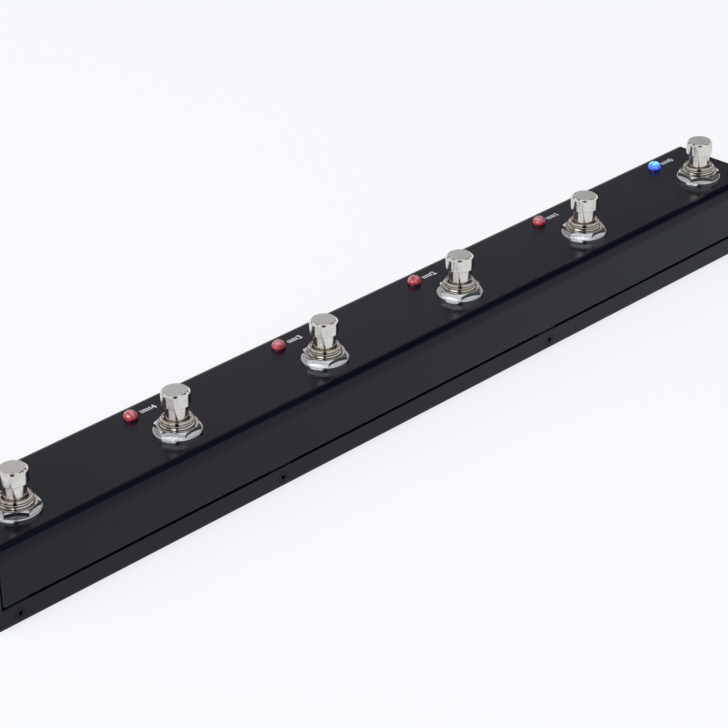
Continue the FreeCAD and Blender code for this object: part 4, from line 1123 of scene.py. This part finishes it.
class PEDAL_OT_screws(bpy.types.Operator):
    """Makes the small countersunk screws that hold cover and tray together"""

    bl_idname = "pedal.screws"
    bl_label = "Case screws"

    def execute(self, context):
        low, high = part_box("case_screws")
        height = (low.z + high.z) / 2
        places = []
        for row, face, side in ((FRONT_SCREWS, low.y, 1), (REAR_SCREWS, high.y, -1)):
            for count, x in enumerate(row):
                spot = Matrix.Translation((x * MM, face, height))
                lie = Matrix.Rotation(side * math.pi / 2, 4, "X")
                spin = Matrix.Rotation(math.radians(SCREW_STEP * count), 4, "Z")
                places.append(spot @ lie @ spin)
        place_piece("case_screws_black", "black_steel", self.screw(), places, "case_screws")
        return {"FINISHED"}

    def screw(self):
        """A screw with its head's face at height 0 and its point downwards."""
        socket = hexagon(1.5 * MM)
        socket_rim = 0.98 * MM
        head = 2.3 * MM
        head_face = 2.08 * MM
        shank = 1.2 * MM
        point = 0.3 * MM
        countersink = -1.2 * MM
        end = -3.5 * MM
        solid = ring_solid([
            (socket, countersink),
            (socket, -0.06 * MM),
            (circle(socket_rim), 0.0),
            (circle(head_face), 0.0),
            (circle(head), -0.14 * MM),
            (circle(shank), countersink),
            (circle(shank), end + point),
            (circle(shank - point), end),
        ], SCREW_STEPS, capped=True)
        round_sharp(solid, 0.04 * MM, sharpest=25.0)
        return solid


class PEDAL_OT_feet(bpy.types.Operator):
    """Makes the rubber feet: round pads with a soft rim and a shallow dish"""

    bl_idname = "pedal.feet"
    bl_label = "Rubber feet"

    def execute(self, context):
        low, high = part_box("rubber_feet")
        radius = 5.0 * MM
        tall = high.z - low.z
        dish = 0.35 * MM
        outline = [
            (0.0, dish),
            (2.2 * MM, dish),
            (2.7 * MM, 0.0),
            (radius, 0.0),
            (radius, tall),
            (0.0, tall),
        ]
        solid = turned_solid(outline, steps=48)
        round_ring(solid, radius, 0.0, 0.5 * MM, 5)
        round_ring(solid, radius, tall, 0.15 * MM, 2)
        places = [standing_at(Vector((x, y)))
                  for x in (low.x + radius, high.x - radius)
                  for y in (low.y + radius, high.y - radius)]
        place_piece("foot_pads", "rubber", solid, places, "rubber_feet")
        return {"FINISHED"}


class PEDAL_OT_sockets(bpy.types.Operator):
    """Makes the sleeves, washers and nuts of the twelve jack sockets"""

    bl_idname = "pedal.sockets"
    bl_label = "Jack sockets"

    def execute(self, context):
        sizes = context.scene.pedal_sockets
        places = socket_places()
        thick = 0.8 * MM
        washer = washer_solid(sizes.washer_radius, sizes.sleeve_radius + 0.1 * MM, thick,
                              0.22 * MM)
        nut = nut_solid(sizes.nut_flats, 2.0 * MM, sizes.sleeve_radius)
        lifted = [place @ Matrix.Translation((0.0, 0.0, thick))
                  @ Matrix.Rotation(math.radians(JACK_NUT_STEP * count), 4, "Z")
                  for count, place in enumerate(places)]
        place_piece("threaded_sleeves", "nickel", self.sleeve(sizes), places, "jack_sleeves")
        place_piece("socket_washers", "nickel", washer, places, "jack_washers")
        place_piece("socket_nuts", "nickel", nut, lifted, "jack_nuts")
        paint_nodes("black_plastic", "tinned_brass")
        return {"FINISHED"}

    def sleeve(self, sizes):
        """A sleeve from its seat in the housing to its rim beyond the panel."""
        inner_end = -6.1 * MM
        land = 0.25 * MM
        lead_in = 0.35 * MM
        thread = thread_rings(sizes.sleeve_radius, sizes.proud - land, 0.75 * MM, 0.3 * MM, 4)
        outline = [
            (sizes.bore_radius, inner_end),
            (sizes.sleeve_radius, inner_end),
            *reversed(thread),
            (sizes.sleeve_radius - 0.15 * MM, sizes.proud),
            (sizes.bore_radius + lead_in, sizes.proud),
            (sizes.bore_radius, sizes.proud - lead_in),
        ]
        solid = turned_solid(outline, steps=60, closed=True)
        round_sharp(solid, 0.05 * MM)
        return solid


class PEDAL_OT_power(bpy.types.Operator):
    """Finishes the power inlet in the rear skirt"""

    bl_idname = "pedal.power"
    bl_label = "Power inlet"

    def execute(self, context):
        for name in ("power_inlet", "power_inlet_nut", "power_inlet_pin"):
            for place in NODES[name].material_slots:
                place.material = MATERIALS["nickel"]
        return {"FINISHED"}


class PEDAL_OT_springs(bpy.types.Operator):
    """Winds the six return springs"""

    bl_idname = "pedal.springs"
    bl_label = "Return springs"

    def execute(self, context):
        for count in range(1, SWITCH_COUNT + 1):
            low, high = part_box(f"return_spring_{count}")
            middle = (low + high) / 2
            tall = high.z - low.z
            piece = place_piece(f"return_coil_{count}", "spring_steel",
                                self.coil((high.x - low.x) / 2, tall),
                                [standing_at(middle, low.z)], f"return_spring_{count}")
            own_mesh(piece)
        return {"FINISHED"}

    def coil(self, radius, tall):
        """A coil of round wire that stands on height 0, from its outer radius."""
        wire = 0.35 * MM
        turns = 6
        steps = turns * 32
        bm = bmesh.new()
        ring = bmesh.ops.create_circle(bm, segments=12, radius=wire)["verts"]
        upright = Matrix.Rotation(math.pi / 2, 4, "X")
        bmesh.ops.transform(bm, matrix=Matrix.Translation((radius - wire, 0.0, wire)) @ upright,
                            verts=ring)
        first = list(bm.edges)
        made = bmesh.ops.spin(bm, geom=ring + first, cent=(0, 0, 0), axis=(0, 0, 1),
                              dvec=(0.0, 0.0, (tall - 2 * wire) / steps),
                              angle=turns * math.tau, steps=steps, use_merge=False,
                              use_duplicate=False)
        last = [item for item in made["geom_last"] if isinstance(item, bmesh.types.BMEdge)]
        for loop in (first, last):
            bmesh.ops.contextual_create(bm, geom=loop)
        bmesh.ops.recalc_face_normals(bm, faces=bm.faces)
        return bm


class PEDAL_OT_inside(bpy.types.Operator):
    """Finishes what the case holds: switch housings, lugs, contacts, wires and tabs"""

    bl_idname = "pedal.inside"
    bl_label = "Inside"

    def execute(self, context):
        paint_nodes("nickel", "zinc", "spring_steel", "tinned_brass", "housing_blue",
                    "white_plastic", "resistor", "wire_green")
        return {"FINISHED"}


BUILD_ORDER = (
    PEDAL_OT_case,
    PEDAL_OT_buttons,
    PEDAL_OT_bushings,
    PEDAL_OT_nuts,
    PEDAL_OT_lights,
    PEDAL_OT_numbers,
    PEDAL_OT_screws,
    PEDAL_OT_feet,
    PEDAL_OT_sockets,
    PEDAL_OT_power,
    PEDAL_OT_springs,
    PEDAL_OT_inside,
    PEDAL_OT_stage,
)


class PEDAL_PT_sidebar(bpy.types.Panel):
    """Lists the pedal's settings and the operators that make it"""

    bl_idname = "PEDAL_PT_sidebar"
    bl_label = "Loop switcher pedal"
    bl_space_type = "VIEW_3D"
    bl_region_type = "UI"
    bl_category = "Pedal"

    def draw(self, context):
        for name, group in SETTINGS.items():
            box = self.layout.box()
            settings = getattr(context.scene, name)
            for label in group.__annotations__:
                box.prop(settings, label)
        for operator in BUILD_ORDER:
            self.layout.operator(operator.bl_idname)


CLASSES = (*SETTINGS.values(), *BUILD_ORDER, PEDAL_PT_sidebar)


def register():
    for part in CLASSES:
        bpy.utils.register_class(part)
    for name, group in SETTINGS.items():
        setattr(bpy.types.Scene, name, PointerProperty(type=group))


def unregister():
    for name in SETTINGS:
        delattr(bpy.types.Scene, name)
    for part in reversed(CLASSES):
        bpy.utils.unregister_class(part)


def main():
    """Makes the whole pedal."""
    register()
    make_materials(bpy.context.scene)
    for operator in BUILD_ORDER:
        family, name = operator.bl_idname.split(".")
        getattr(getattr(bpy.ops, family), name)()


if __name__ == "__main__":
    main()
